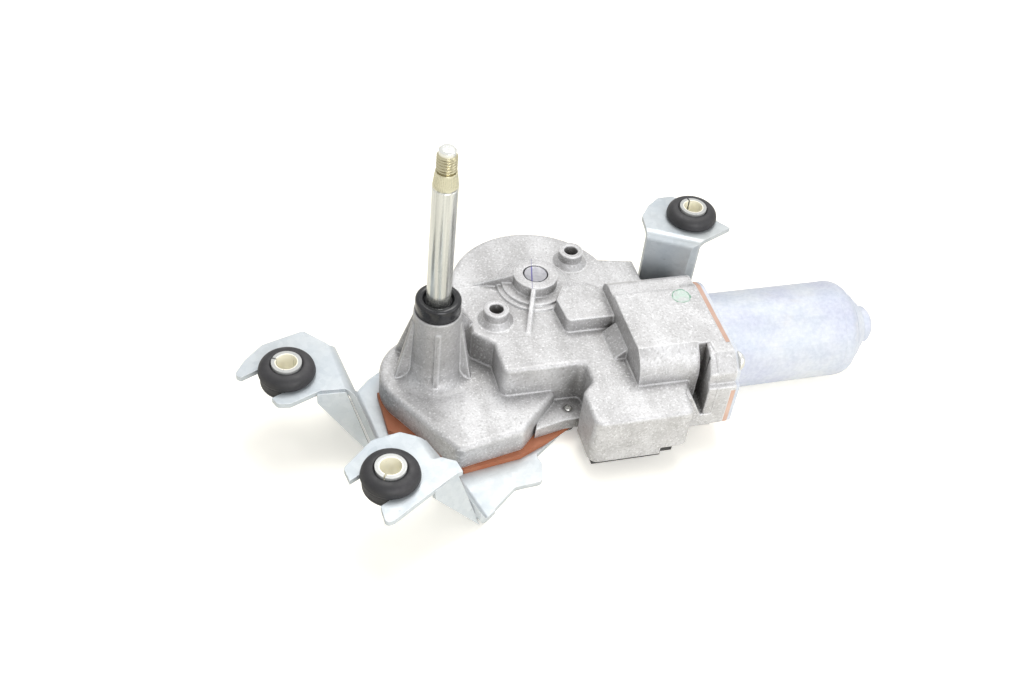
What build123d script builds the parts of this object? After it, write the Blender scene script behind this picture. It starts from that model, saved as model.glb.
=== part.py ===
from build123d import *
import os
from math import cos, pi, radians, sin, tan

os.makedirs("parts", exist_ok=True)

# Wiper motor. The origin is where the spindle's axis meets the underside of the bracket plate.
# +Z runs up the spindle, and +X runs towards the motor can. All lengths are millimetres.

# Levels
plateThick = 2.3
gasketThick = 2.5
lobeTop = 16.4
deckTop = 31.0
motorBoxTop = 45.6
towerTop = 51.4
castWall = 2.4
roofWall = 2.8

# Spindle
spindleR = 5.0
spindleFoot = 3.0
coneLength = 8.0
threadLength = 15.0
threadR = 4.0
spindleTip = 132.4
capR = 9.35
capHeight = 6.9
towerRimR = 9.8
towerFootR = 10.9
towerFlare = 5.6
bushR = 7.2
bushLength = 12.0

# Gear train
toothModule = 1.25
pinionTeeth = 17
sectorTeeth = 25
sectorShownTeeth = 5
sectorMidAngle = 72.2
gearThick = 5.0
gearBottom = 6.4
backlash = 0.16
parkAngle = -79.7
rodAngle = 50.6
crankRadius = 11.0
crankPinR = 3.0
wheelX, wheelY = 50.4, 29.8
wheelTeeth = 66
wheelThick = 8.0
axleR = 5.6
holderThick = 2.0
pivotPinR = 3.0

# Motor
motorY, motorZ = -7.5, 21.6
canR = 21.25
canWall = 1.6
canEnd = 181.0
canBossR = 8.2
canBossLength = 16.0
motorShaftR = 4.0
wormR = 4.6
coreR = 13.6
coreStart, coreLength = 124.0, 36.0
coreSlots = 12
magnetThick = 4.8
commutatorR = 9.0
commutatorBars = 12

# Casting outline
lobeR = 23.0
deckLeft = 24.4
deckFront = -19.5
motorBoxLeft = 77.0
motorBoxRight = 103.0
flangeStart = 108.0
flangeEnd = 114.5
motorGasketThick = 2.0
connectorLeft = 53.7
connectorRight = 96.3
connectorFront = -54.2

# Arms and their cushions
armTopLow = 34.9
armTopHigh = 49.4
sleeveR = 6.0
sleeveBoreR = 4.15
sleeveHeight = 13.6
sleeveOverFlange = 6.5
grommetR = 11.25
grommetNeckR = 8.6

# Clearances
runFit = 0.04
pressFit = 0.01
seatGap = 0.3
slideGap = 0.15
wheelPocketGap = 1.9

gasketTop = plateThick + gasketThick
chamberTop = lobeTop - roofWall
deckChamberTop = deckTop - roofWall
pinionR = toothModule * pinionTeeth / 2
sectorR = toothModule * sectorTeeth / 2
holderReach = pinionR + sectorR
sectorX = holderReach * cos(radians(parkAngle))
sectorY = holderReach * sin(radians(parkAngle))
crankX = wheelX - crankRadius * cos(radians(rodAngle))
crankY = wheelY - crankRadius * sin(radians(rodAngle))
wheelR = wheelY - motorY - wormR - seatGap
gearTop = gearBottom + gearThick
holderBottom = gearBottom - slideGap - holderThick
wheelBottom = motorZ - wheelThick / 2
wheelPocketR = wheelR + wheelPocketGap
wheelCaseR = wheelPocketR + castWall
threadStart = spindleTip - threadLength
taperStart = threadStart - coneLength
canPlateStart = flangeEnd + motorGasketThick
canBossEnd = canEnd + canBossLength


def save(piece, label):
    piece.part.label = label
    export_step(piece.part, "parts/" + label + ".step")


def towards(radius, degrees, x=0.0, y=0.0):
    return (x + radius * cos(radians(degrees)), y + radius * sin(radians(degrees)))


def acrossShaft(x):
    """A plane square to the motor shaft, whose own x runs along +Y and y along +Z."""
    return Plane(origin=(x, motorY, motorZ), x_dir=(0, 1, 0), z_dir=(1, 0, 0))


# Plan of the casting. The lobe covers the sector gear, and the deck covers the worm and its wheel.
lobeCornerX, lobeCornerY = 0.5, -45.3
lobeNoseX, lobeNoseY = 29.3, -39.5
lobeSideX, lobeSideY = 47.4, -21.2
deckBack = 27.6
shoulderBack = 40.4
shoulderRight = 100.0
pocketX = 59.3
coverFront = -21.5
coverRight = 106.0
webX, webY = 16.6, 5.3

with BuildSketch(Plane.XY) as lobeFront:
    with BuildLine():
        Polyline(
            (-lobeR, 0.0),
            towards(lobeR, -156.0),
            (lobeCornerX, lobeCornerY),
            (lobeNoseX, lobeNoseY),
            (lobeSideX, lobeSideY),
            (lobeSideX, 0.0),
            (-lobeR, 0.0),
        )
    make_face()
    Circle(lobeR)

with BuildSketch(Plane.XY) as lobeOutline:
    add(lobeFront.sketch_local)
    fillet(lobeOutline.vertices().filter_by(lambda v: v.Y < lobeNoseY + 1), 4.0)
    with BuildLine():
        Polyline(
            (-8.0, 21.0), (4.0, 33.0), (18.0, 45.0), (50.0, 45.0), (50.0, 0.0), (-8.0, 0.0),
            (-8.0, 21.0),
        )
    make_face()

with BuildSketch(Plane.XY) as deckOutline:
    with BuildLine():
        Polyline(
            (deckLeft, deckFront),
            (pocketX, deckFront),
            (pocketX, -30.0),
            (connectorLeft, -35.6),
            (connectorLeft, connectorFront),
            (connectorRight, connectorFront),
            (connectorRight, -43.0),
            (motorBoxRight, -30.0),
            (flangeEnd, -30.0),
            (flangeEnd, deckBack),
            (shoulderRight, deckBack),
            (shoulderRight, shoulderBack),
            (wheelX, shoulderBack + 10.0),
            (18.0, 30.0),
            (webX, webY + 9.0),
            (webX, webY),
            (deckLeft, webY - 7.3),
            (deckLeft, deckFront),
        )
    make_face()
    with Locations((wheelX, wheelY)):
        Circle(wheelCaseR)
    fillet(deckOutline.vertices().filter_by(lambda v: v.Y < -31), 4.0)
    fillet(deckOutline.vertices().filter_by(lambda v: abs(v.X - pocketX) < 0.1), 3.0)
    fillet(deckOutline.vertices().filter_by(lambda v: abs(v.X - deckLeft) < 0.1 and v.Y < -10), 3.0)

# The hollow below the lobe, where the sector gear swings, and the round pocket of the worm wheel.
coverScrewSpots = [(24.0, -36.5), (52.7, -25.2), (6.0, 29.0), (94.0, 33.0)]
coverScrewR = 1.9
screwBossR = 4.4

with BuildSketch(Plane.XY) as gearRoom:
    add(lobeFront.sketch_local)
    offset(amount=-castWall)
    with BuildLine():
        Polyline(
            (0.0, 0.0), (10.0, -16.0), (42.0, -17.0), (64.0, 8.0), (wheelX, wheelY), (22.0, 16.0),
            (0.0, 0.0),
        )
    make_face()
    with Locations((wheelX, wheelY)):
        Circle(wheelPocketR)
    with Locations(coverScrewSpots[0]):
        Circle(screwBossR, mode=Mode.SUBTRACT)

# Outline of the flange that carries the can, seen along the motor shaft: y and z in the object's frame.
ear1Y, ear1Z = -38.0, 40.6
ear2Y, ear2Z = 20.5, 13.0
earScrewR = 2.0
canScrewHeadR = 3.9
flangePlane = Plane(origin=(0, 0, 0), x_dir=(0, 1, 0), z_dir=(1, 0, 0))
boxFrontCrease = -29.0
boxBackCrease = 3.7
boxFrontFoot = -36.5
boxBackFoot = 16.5
boxLedge = motorBoxTop - 1.2
flangeBack = 26.4
flangeFront = -45.6
slotFloor = 18.8

with BuildSketch(flangePlane) as flangeOutline:
    with BuildLine():
        Polyline(
            (boxBackCrease, motorBoxTop),
            (-36.6, motorBoxTop),
            (-43.4, 39.4),
            (-43.4, deckTop + 3.2),
            (flangeFront, deckTop + 2.6),
            (flangeFront, slotFloor - 7.0),
            (-24.0, 0.4),
            (9.0, 0.4),
            (flangeBack, 7.0),
            (flangeBack, 20.0),
            (boxBackFoot, deckTop),
        )
        ThreePointArc((boxBackFoot, deckTop), (12.2, 40.2), (boxBackCrease, motorBoxTop))
    make_face()
    fillet(flangeOutline.vertices().filter_by(lambda v: v.X < -36 and v.Y > 39), 3.5)
    fillet(flangeOutline.vertices().filter_by(lambda v: v.Y < 20.5 and abs(v.X) > 8.0), 3.0)

with BuildPart() as lobeBlock:
    with BuildSketch(Plane.XY.offset(gasketTop)):
        add(lobeOutline.sketch_local)
    extrude(amount=lobeTop - gasketTop)
    fillet(lobeBlock.faces().sort_by(Axis.Z)[-1].outer_wire().edges(), 2.0)

with BuildPart() as deckBlock:
    with BuildSketch(Plane.XY.offset(gasketTop)):
        add(deckOutline.sketch_local)
    extrude(amount=deckTop - gasketTop)
    fillet(deckBlock.faces().sort_by(Axis.Z)[-1].outer_wire().edges(), 1.6)

with BuildPart() as motorBox:
    with BuildSketch(flangePlane.offset(motorBoxLeft)):
        with BuildLine():
            Polyline(
                (boxBackFoot, gasketTop),
                (boxFrontFoot, gasketTop),
                (boxFrontFoot, deckTop),
            )
            ThreePointArc((boxFrontFoot, deckTop), (-34.4, 40.4), (boxFrontCrease, motorBoxTop))
            Polyline(
                (boxFrontCrease, motorBoxTop), (boxBackCrease, motorBoxTop),
                (boxBackCrease, boxLedge), (11.0, boxLedge),
            )
            ThreePointArc((11.0, boxLedge), (14.2, 42.6), (boxBackFoot, 38.6))
            Line((boxBackFoot, 38.6), (boxBackFoot, gasketTop))
        make_face()
    extrude(amount=motorBoxRight - motorBoxLeft)
    with BuildSketch(flangePlane.offset(motorBoxRight)):
        with BuildLine():
            Polyline(
                (boxBackFoot, gasketTop),
                (boxFrontCrease - 1.0, gasketTop),
                (boxFrontCrease - 1.0, motorBoxTop),
                (boxBackCrease, motorBoxTop),
                (boxBackCrease, boxLedge),
                (11.0, boxLedge),
            )
            ThreePointArc((11.0, boxLedge), (14.2, 42.6), (boxBackFoot, 38.6))
            Line((boxBackFoot, 38.6), (boxBackFoot, gasketTop))
        make_face()
    extrude(amount=flangeEnd - motorBoxRight)

with BuildPart() as flangeBlock:
    with BuildSketch(flangePlane.offset(flangeStart)):
        add(flangeOutline.sketch_local)
    extrude(amount=flangeEnd - flangeStart)
    with BuildSketch(flangePlane.offset(flangeEnd)):
        add(flangeOutline.sketch_local)
        with Locations((-40.0, 45.0)):
            Rectangle(17.0, 27.0, mode=Mode.INTERSECT)
    extrude(amount=motorGasketThick)

# The tower: a cone that flares into the lobe, stiffened by ribs given as (direction, reach at the foot).
# The last one runs up from the deck behind it.
towerRibs = [(-100.0, 12.6), (-24.0, 16.0), (82.0, 19.0), (130.0, 21.0), (182.0, 17.4)]
towerRibThick = 2.2
ribTopR = towerRimR + 0.6
ribHeight = 30.0
deckRibTurn, deckRibReach = 34.0, 22.6
flareTop = lobeTop + towerFlare

with BuildPart() as tower:
    with BuildSketch(Plane.XZ):
        with BuildLine():
            Polyline(
                (towerFootR + towerFlare, lobeTop),
                (towerFootR + towerFlare, lobeTop - 1.0),
                (0.0, lobeTop - 1.0),
                (0.0, towerTop),
                (towerRimR, towerTop),
                (towerFootR, flareTop),
            )
            ThreePointArc(
                (towerFootR, flareTop),
                towards(towerFlare, -135.0, towerFootR + towerFlare, flareTop),
                (towerFootR + towerFlare, lobeTop),
            )
        make_face()
    revolve(axis=Axis.Z)
    ribShapes = [(turn, lobeTop - 1.0, reach) for turn, reach in towerRibs]
    ribShapes.append((deckRibTurn, deckTop - 1.0, deckRibReach))
    for turn, foot, reach in ribShapes:
        ribPlane = Plane(
            origin=(0, 0, 0),
            x_dir=(cos(radians(turn)), sin(radians(turn)), 0),
            z_dir=(sin(radians(turn)), -cos(radians(turn)), 0),
        )
        with BuildSketch(ribPlane):
            Polygon(
                (bushR + 1.0, foot),
                (reach, foot),
                (ribTopR, lobeTop + ribHeight),
                (bushR + 1.0, lobeTop + ribHeight),
                align=None,
            )
        extrude(amount=towerRibThick / 2, both=True)

# Features that stand on the deck.
axleBossR = 9.6
axleBossTop = 38.4
deckRingR = 14.5
deckRingTop = 33.2
deckStepR = 16.6
deckStepTop = 32.0
bossFlare = 2.6
screwBossTop = 37.4
screwBossOuterR = 5.3
screwBossHoleR = 3.15
screwBossDepth = 9.0
screwBossSpots = [(28.4, 11.5), (70.8, 43.8)]
padTop = 37.7
lugTop = 10.4
wedgeLeft, wedgeTop = 71.8, 37.0
wedgeBack, wedgeFront = -3.5, -20.0
slotStart = 97.6
slotBack = -33.0
gussetThick = 1.8

with BuildPart() as deckFeatures:
    with BuildSketch(Plane.XY.offset(deckTop - 2.0)):
        with Locations((wheelX, wheelY)):
            Circle(axleBossR + 0.4)
    extrude(amount=axleBossTop - deckTop + 2.0, taper=1.5)
    with BuildSketch(Plane.XY.offset(deckTop - 1.0)):
        with Locations((wheelX, wheelY)):
            Circle(deckRingR)
    extrude(amount=deckRingTop - deckTop + 1.0)
    with BuildSketch(Plane.XY.offset(deckTop - 1.0)):
        with Locations((wheelX, wheelY)):
            Circle(deckStepR)
    extrude(amount=deckStepTop - deckTop + 1.0)
    with BuildSketch(Plane.XY.offset(deckTop - 2.0)):
        with Locations(screwBossSpots):
            Circle(screwBossOuterR + 0.5)
    extrude(amount=screwBossTop - deckTop + 2.0, taper=3)
    with BuildSketch(Plane.XY.offset(deckTop)):
        with Locations(screwBossSpots):
            Circle(screwBossOuterR + bossFlare)
    extrude(amount=bossFlare, taper=45)
    with BuildSketch(Plane.XY.offset(deckTop - 1.0)) as padPlan:
        with BuildLine():
            Polyline(
                (56.0, -1.2), (78.0, -1.2), (78.0, 17.0), (72.0, 21.5), (60.0, 21.5), (54.8, 13.0),
                (56.0, -1.2),
            )
        make_face()
        fillet(padPlan.vertices().filter_by(lambda v: v.X < 61), 2.5)
    extrude(amount=padTop - deckTop + 1.0, taper=4)
    with BuildSketch(Plane.XZ.offset(-wedgeBack)):
        Polygon(
            (motorBoxLeft + 1.0, deckTop - 1.0),
            (wedgeLeft, deckTop - 1.0),
            (wedgeLeft, deckTop + 0.6),
            (motorBoxLeft + 1.0, wedgeTop),
            align=None,
        )
    extrude(amount=wedgeBack - wedgeFront)
    with BuildSketch(Plane.XZ.offset(-slotBack)):
        Polygon(
            (connectorRight - 4.0, slotFloor - 7.0),
            (flangeStart + 1.0, slotFloor - 7.0),
            (flangeStart + 1.0, slotFloor),
            (slotStart + 5.6, slotFloor),
            (slotStart, deckTop - 0.8),
            (connectorRight - 4.0, deckTop - 0.8),
            align=None,
        )
    extrude(amount=slotBack - flangeFront)
    with BuildSketch(Plane.XY.offset(gasketTop)):
        with BuildLine():
            Polyline(
                (36.0, -34.5), (41.0, -33.5), (50.0, -31.5), (60.0, -31.5), (60.0, -19.0),
                (44.0, -19.0), (36.0, -34.5),
            )
        make_face()
    extrude(amount=lugTop - gasketTop)

gussetRuns = [(168.5, 26.9), (-109.7, 31.4)]
with BuildPart() as deckGussets:
    for turn, reach in gussetRuns:
        gussetPlane = Plane(
            origin=(wheelX, wheelY, deckTop - 1.0),
            x_dir=(cos(radians(turn)), sin(radians(turn)), 0),
            z_dir=(sin(radians(turn)), -cos(radians(turn)), 0),
        )
        with BuildSketch(gussetPlane):
            with BuildLine():
                Polyline(
                    (0.0, 0.0), (reach, 0.0), (reach, 1.2),
                    (axleBossR, axleBossTop - deckTop + 0.6), (0.0, 5.0), (0.0, 0.0),
                )
            make_face()
        extrude(amount=gussetThick / 2, both=True)

# The room for the brushes and the tunnel for the worm.
brushRoomR = 18.4
brushRoomStart = 90.0
brushRoomFloor = gasketTop + castWall
centreBushR = 7.0
centreBushLength = 7.0
wormBushR = 6.4
wormBushLength = 7.0
wormBushStart = 28.0
wormRoomR = 6.6
connectorRoomTop = 27.0
connectorWall = 3.2
boxBottom = 8.0
boxBottomBack = -32.0
stepStart = 84.0
stepBottom = 11.5

with BuildPart() as gear_housing:
    add(lobeBlock.part)
    add(deckBlock.part)
    add(motorBox.part)
    add(flangeBlock.part)
    add(tower.part)
    add(deckFeatures.part)
    add(deckGussets.part)
    with BuildSketch(Plane.XY.offset(gasketTop)):
        add(gearRoom.sketch_local)
    extrude(amount=chamberTop - gasketTop, mode=Mode.SUBTRACT)
    with BuildSketch(Plane.XY.offset(gasketTop)):
        with Locations((wheelX, wheelY)):
            Circle(wheelPocketR)
    extrude(amount=deckChamberTop - gasketTop, mode=Mode.SUBTRACT)
    with BuildSketch(acrossShaft(wormBushStart)):
        Circle(wormBushR)
    extrude(amount=wormBushLength + 1.0, mode=Mode.SUBTRACT)
    with BuildSketch(acrossShaft(wormBushStart + wormBushLength)):
        Circle(wormRoomR)
    extrude(amount=brushRoomStart - centreBushLength - wormBushStart - wormBushLength, mode=Mode.SUBTRACT)
    with BuildSketch(acrossShaft(brushRoomStart - centreBushLength - 1.0)):
        Circle(centreBushR)
    extrude(amount=centreBushLength + 2.0, mode=Mode.SUBTRACT)
    with BuildSketch(acrossShaft(brushRoomStart)):
        Circle(brushRoomR)
        with Locations((0.0, brushRoomFloor - motorZ - brushRoomR)):
            Rectangle(4 * brushRoomR, 2 * brushRoomR, mode=Mode.SUBTRACT)
    extrude(amount=flangeEnd + motorGasketThick - brushRoomStart, mode=Mode.SUBTRACT)
    with BuildSketch(Plane.XY.offset(gasketTop)):
        with BuildLine():
            Polyline(
                (pocketX + connectorWall, -24.0),
                (pocketX + connectorWall, -33.0),
                (connectorLeft + connectorWall, -38.0),
                (connectorLeft + connectorWall, connectorFront + connectorWall),
                (connectorRight - connectorWall, connectorFront + connectorWall),
                (connectorRight - connectorWall, -40.0),
                (connectorRight - connectorWall, -31.0),
                (pocketX + connectorWall, -24.0),
            )
        make_face()
    extrude(amount=connectorRoomTop - gasketTop, mode=Mode.SUBTRACT)
    with BuildSketch(Plane.XZ.offset(-boxBottomBack)):
        Polygon(
            (connectorLeft - 1.0, gasketTop - 1.0),
            (connectorLeft - 1.0, boxBottom),
            (stepStart, boxBottom),
            (stepStart, stepBottom),
            (flangeStart, stepBottom),
            (flangeStart, gasketTop - 1.0),
            align=None,
        )
    extrude(amount=boxBottomBack - connectorFront + 1.0, mode=Mode.SUBTRACT)
    with Locations((0, 0, towerTop)):
        Hole(bushR, depth=towerTop - gasketTop)
    with Locations((wheelX, wheelY, axleBossTop)):
        Hole(axleR + pressFit, depth=axleBossTop - gasketTop)
    with Locations([(x, y, screwBossTop) for x, y in screwBossSpots]):
        Hole(screwBossHoleR, depth=screwBossDepth)
    for x, y in coverScrewSpots:
        with Locations(Plane(origin=(x, y, gasketTop), z_dir=(0, 0, -1))):
            Hole(coverScrewR + pressFit, depth=lugTop - gasketTop + 0.8)
    for y, z in ((ear1Y, ear1Z), (ear2Y, ear2Z)):
        with Locations(Plane(origin=(flangeEnd + motorGasketThick, y, z), z_dir=(1, 0, 0))):
            Hole(earScrewR + pressFit, depth=12.0)

save(gear_housing, "gear_housing")

# The stamped bracket closes the casting from below and carries it on three arms.
armBendR = 3.2
armReach = 160.0
slotHalf = grommetNeckR + 0.1
bracketCaseMargin = 1.2

with BuildSketch(Plane.XY) as bracketPlan:
    with BuildLine():
        Polyline(
            (3.4, -46.1),
            (3.9, -72.4),
            (18.4, -59.8),
            (22.6, -56.4),
            (34.3, -55.4),
            (36.4, -46.1),
            (35.1, -41.5),
            (48.5, -30.9),
            (52.3, -28.0),
            (60.0, coverFront),
            (coverRight, coverFront),
            (coverRight, 16.0),
            (118.6, 16.0),
            (119.6, 27.4),
            (104.4, 35.2),
            (98.0, 43.0),
            (86.0, 48.0),
            (wheelX, 60.0),
            (18.0, 48.0),
            (-8.0, 24.0),
            (-19.0, 17.5),
            (-26.0, 12.5),
            (-31.8, 6.3),
            (-29.6, -31.0),
            (-22.0, -30.5),
            (-11.0, -36.0),
            (3.4, -46.1),
        )
    make_face()
    with Locations((wheelX, wheelY)):
        Circle(wheelCaseR + bracketCaseMargin)
    fillet(bracketPlan.vertices().filter_by(lambda v: v.Y < -50), 3.0)
    fillet(bracketPlan.vertices().filter_by(lambda v: v.Y > -50 and v.Y < -40 and v.X > 30), 2.5)
    fillet(bracketPlan.vertices().filter_by(lambda v: abs(v.X - coverRight) < 0.1), 1.5)


def stampedArm(turn, footReach, headReach, tipReach, top, plan):
    """One arm: a strip bent up and out from the plate, cut to its plan outline."""
    side = Plane(
        origin=(0, 0, 0),
        x_dir=(cos(radians(turn)), sin(radians(turn)), 0),
        z_dir=(sin(radians(turn)), -cos(radians(turn)), 0),
    )
    with BuildPart() as arm:
        with BuildSketch(side):
            with BuildLine():
                FilletPolyline(
                    (footReach - 6.0, plateThick / 2),
                    (footReach, plateThick / 2),
                    (headReach, top - plateThick / 2),
                    (tipReach, top - plateThick / 2),
                    radius=armBendR,
                )
            trace(line_width=plateThick)
        extrude(amount=armReach, both=True)
        with BuildSketch(Plane.XY.offset(-1.0)):
            add(plan)
        extrude(amount=top + 2.0, mode=Mode.INTERSECT)
    return arm.part


def sideGusset(outer, corner, foot, top, drop):
    """A sheet turned down from an arm's edge, from its outer end past the bend to the foot."""
    cornerPoint = Vector(corner[0], corner[1], top - plateThick / 2)
    along = Vector(outer[0], outer[1], top - plateThick / 2) - cornerPoint
    down = Vector(foot[0], foot[1], plateThick / 2) - cornerPoint
    gussetPlane = Plane(origin=cornerPoint, x_dir=along, z_dir=along.cross(down))
    footPlace = gussetPlane.to_local_coords(cornerPoint + down)
    with BuildPart() as gusset:
        with BuildSketch(gussetPlane):
            Polygon((0, 0), (along.length, 0), (along.length, drop), (footPlace.X, footPlace.Y), align=None)
        extrude(amount=gussetThick / 2, both=True)
    return gusset.part


def cushionSlot(x, y, turn, length):
    """The open slot that a grommet is pushed into, with its round end at the cushion's centre."""
    with Locations((x, y)):
        Circle(slotHalf, mode=Mode.SUBTRACT)
    middle = towards(length / 2, turn, x, y)
    with Locations(Location((middle[0], middle[1], 0), turn)):
        Rectangle(length, 2 * slotHalf * 0.93, mode=Mode.SUBTRACT)


leftTurn, frontTurn, rearTurn = 188.0, 196.0, 62.8
leftX, leftY = -62.1, -9.6
frontX, frontY = -31.5, -68.9
rearX, rearY = 126.3, 44.4
slotLength = 30.0
slotLeftTurn, slotFrontTurn, slotRearTurn = 205.0, 209.0, 40.0
armTip, rearArmTip = 90.0, 120.0
gussetDrop = 4.0

with BuildSketch(Plane.XY) as leftPlan:
    with BuildLine():
        Polyline(
            (-20.0, 10.0), (-31.8, 6.3), (-38.0, 5.2), (-43.2, 3.5), (-52.8, 13.4), (-70.0, 7.9),
            (-77.5, 0.5), (-82.4, -7.2), (-80.0, -9.0), (-74.0, -12.0), (-67.8, -25.4), (-63.0, -26.2),
            (-50.5, -21.0), (-41.0, -21.6), (-29.6, -31.0), (-20.0, -31.0), (-20.0, 10.0),
        )
    make_face()
    fillet(leftPlan.vertices().filter_by(lambda v: v.X < -48), 2.0)
    cushionSlot(leftX, leftY, slotLeftTurn, slotLength)

with BuildSketch(Plane.XY) as frontPlan:
    with BuildLine():
        Polyline(
            (12.0, -46.1), (3.4, -46.1), (-8.0, -49.0), (-15.4, -52.2), (-24.0, -47.6), (-35.1, -49.7),
            (-47.7, -61.4), (-46.4, -68.4), (-42.0, -72.0), (-37.4, -81.0), (-36.8, -89.3),
            (-33.5, -88.6), (-3.6, -68.9), (3.9, -72.4), (12.0, -66.0), (12.0, -46.1),
        )
    make_face()
    fillet(frontPlan.vertices().filter_by(lambda v: v.X < -16), 1.6)
    cushionSlot(frontX, frontY, slotFrontTurn, slotLength)

with BuildSketch(Plane.XY) as rearPlan:
    with BuildLine():
        Polyline(
            (98.0, 25.0), (119.6, 20.0), (119.6, 27.2), (124.0, 27.0), (141.8, 34.9),
            (138.0, 40.0), (130.0, 54.0), (123.0, 60.8), (116.0, 60.5), (109.6, 55.4), (104.6, 49.0),
            (103.0, 36.0), (98.0, 25.0),
        )
    make_face()
    fillet(rearPlan.vertices().filter_by(lambda v: v.Y > 45 and v.Y < 60), 1.5)
    cushionSlot(rearX, rearY, slotRearTurn, slotLength)

with BuildSketch(Plane.XY.offset(armTopLow - plateThick)) as frontEar:
    with BuildLine():
        Polyline(
            (-20.0, -60.0), (-14.0, -63.0), (-11.1, -62.6), (-5.8, -65.5), (-4.5, -70.7), (-6.9, -71.4),
            (-22.0, -80.6), (-20.0, -60.0),
        )
    make_face()
    fillet(frontEar.vertices().filter_by(lambda v: v.X > -12 and v.X < -5), 1.2)

leftArm = stampedArm(leftTurn, 31.8, 41.6, armTip, armTopLow, leftPlan.sketch)
frontArm = stampedArm(frontTurn, 13.2, 30.0, armTip, armTopLow, frontPlan.sketch)
rearArm = stampedArm(rearTurn, 80.0, 80.7, rearArmTip, armTopHigh, rearPlan.sketch)
leftGusset = sideGusset((-52.0, -21.4), (-40.6, -21.9), (-30.4, -30.0), armTopLow, gussetDrop)
frontGusset = sideGusset((-17.0, -76.9), (-6.9, -70.4), (3.6, -71.0), armTopLow, gussetDrop)

with BuildPart() as mounting_bracket:
    with BuildSketch(Plane.XY):
        add(bracketPlan.sketch_local)
    extrude(amount=plateThick)
    add(leftArm)
    add(frontArm)
    add(rearArm)
    extrude(frontEar.sketch, amount=plateThick)
    add(leftGusset)
    add(frontGusset)
    for x, y in coverScrewSpots:
        with Locations(Plane(origin=(x, y, 0), z_dir=(0, 0, -1))):
            CounterSinkHole(coverScrewR + 0.1, 2 * coverScrewR + 0.1, depth=plateThick)
save(mounting_bracket, "mounting_bracket")

with BuildPart() as housing_gasket:
    with BuildSketch(Plane.XY.offset(plateThick)):
        add(lobeOutline.sketch_local)
        add(deckOutline.sketch_local)
        with BuildLine():
            Polyline(
                (-23.8, 2.0), (-23.0, -19.5), (-9.0, -32.5), (3.4, -46.1), (28.0, -42.4),
                (40.2, -36.8), (52.2, -30.2), (60.4, -24.0), (60.4, 0.0), (0.0, 2.0), (-23.8, 2.0),
            )
        make_face()
        with Locations((50.0, coverFront - 40.0)):
            Rectangle(160.0, 80.0, mode=Mode.SUBTRACT)
        with BuildLine():
            Polyline(
                (-23.0, -19.5), (-9.0, -32.5), (3.4, -46.1), (28.0, -42.4), (40.2, -36.8),
                (52.2, -30.2), (60.4, -24.0), (60.4, coverFront), (0.0, coverFront + 3.0), (-23.0, -19.5),
            )
        make_face()
        with Locations((coverRight + 20.0, 0.0)):
            Rectangle(40.0, 100.0, mode=Mode.SUBTRACT)
        add(gearRoom.sketch_local, mode=Mode.SUBTRACT)
        with Locations(coverScrewSpots):
            Circle(coverScrewR + 0.1, mode=Mode.SUBTRACT)
    extrude(amount=gasketThick)
save(housing_gasket, "housing_gasket")

with BuildPart() as cover_screws:
    for x, y in coverScrewSpots:
        with BuildSketch(Plane(origin=(x, y, 0), x_dir=(1, 0, 0), z_dir=(0, -1, 0))):
            with BuildLine():
                Polyline(
                    (0.0, 0.05), (2 * coverScrewR - 0.1, 0.05), (coverScrewR, plateThick - 0.3),
                    (coverScrewR, lugTop - 0.8), (coverScrewR - 0.6, lugTop + 0.2),
                    (0.0, lugTop + 0.2), (0.0, 0.05),
                )
            make_face()
        revolve(axis=Axis((x, y, 0), (0, 0, 1)))
save(cover_screws, "cover_screws")

# Rubber cushions and the rolled sleeves that take the fixing bolts.
sleeveSplit = 0.7
domeHeight = 5.8
bottomLip = 3.4


def cushion(x, y, top):
    """Grommet: a groove holds the arm, with a domed lip above it and a flat one below."""
    with BuildPart() as piece:
        with BuildSketch(Plane(origin=(x, y, top), x_dir=(1, 0, 0), z_dir=(0, -1, 0))):
            with BuildLine():
                Polyline(
                    (sleeveR + pressFit, domeHeight), (sleeveR + pressFit, -plateThick - bottomLip),
                    (grommetR - 1.6, -plateThick - bottomLip), (grommetR - 0.6, -plateThick - 1.0),
                    (grommetR - 0.6, -plateThick - 0.05), (grommetNeckR, -plateThick - 0.05),
                    (grommetNeckR, 0.05), (grommetR - 1.0, 0.05), (grommetR, 1.8), (grommetR - 0.5, 3.6),
                    (grommetR - 2.0, 5.1), (sleeveR + 1.8, domeHeight), (sleeveR + pressFit, domeHeight),
                )
            make_face()
        revolve(axis=Axis((x, y, 0), (0, 0, 1)))
    return piece


def rolledSleeve(x, y, top, splitTurn):
    """A strip rolled into a tube, whose ends meet at a narrow split."""
    with BuildPart() as piece:
        with BuildSketch(Plane.XY.offset(top + sleeveOverFlange - sleeveHeight)):
            with Locations((x, y)):
                Circle(sleeveR)
                Circle(sleeveBoreR, mode=Mode.SUBTRACT)
            middle = towards((sleeveR + sleeveBoreR) / 2, splitTurn, x, y)
            with Locations(Location((middle[0], middle[1], 0), splitTurn)):
                Rectangle(sleeveR, sleeveSplit, mode=Mode.SUBTRACT)
        extrude(amount=sleeveHeight)
    return piece


for side, x, y, top, splitTurn in (
    ("left", leftX, leftY, armTopLow, 150.0),
    ("front", frontX, frontY, armTopLow, 235.0),
    ("rear", rearX, rearY, armTopHigh, 95.0),
):
    save(cushion(x, y, top), "grommet_" + side)
    save(rolledSleeve(x, y, top, splitTurn), "sleeve_" + side)

# Spindle, its bushes and its seal.
clipGroove = 1.0
clipBottom = towerTop + 0.2
clipR = 7.0
capInnerR = 7.8
capRoof = 2.6
bushGap = 0.2
ringGroove = 1.0
capTop = towerTop + capHeight

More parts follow.
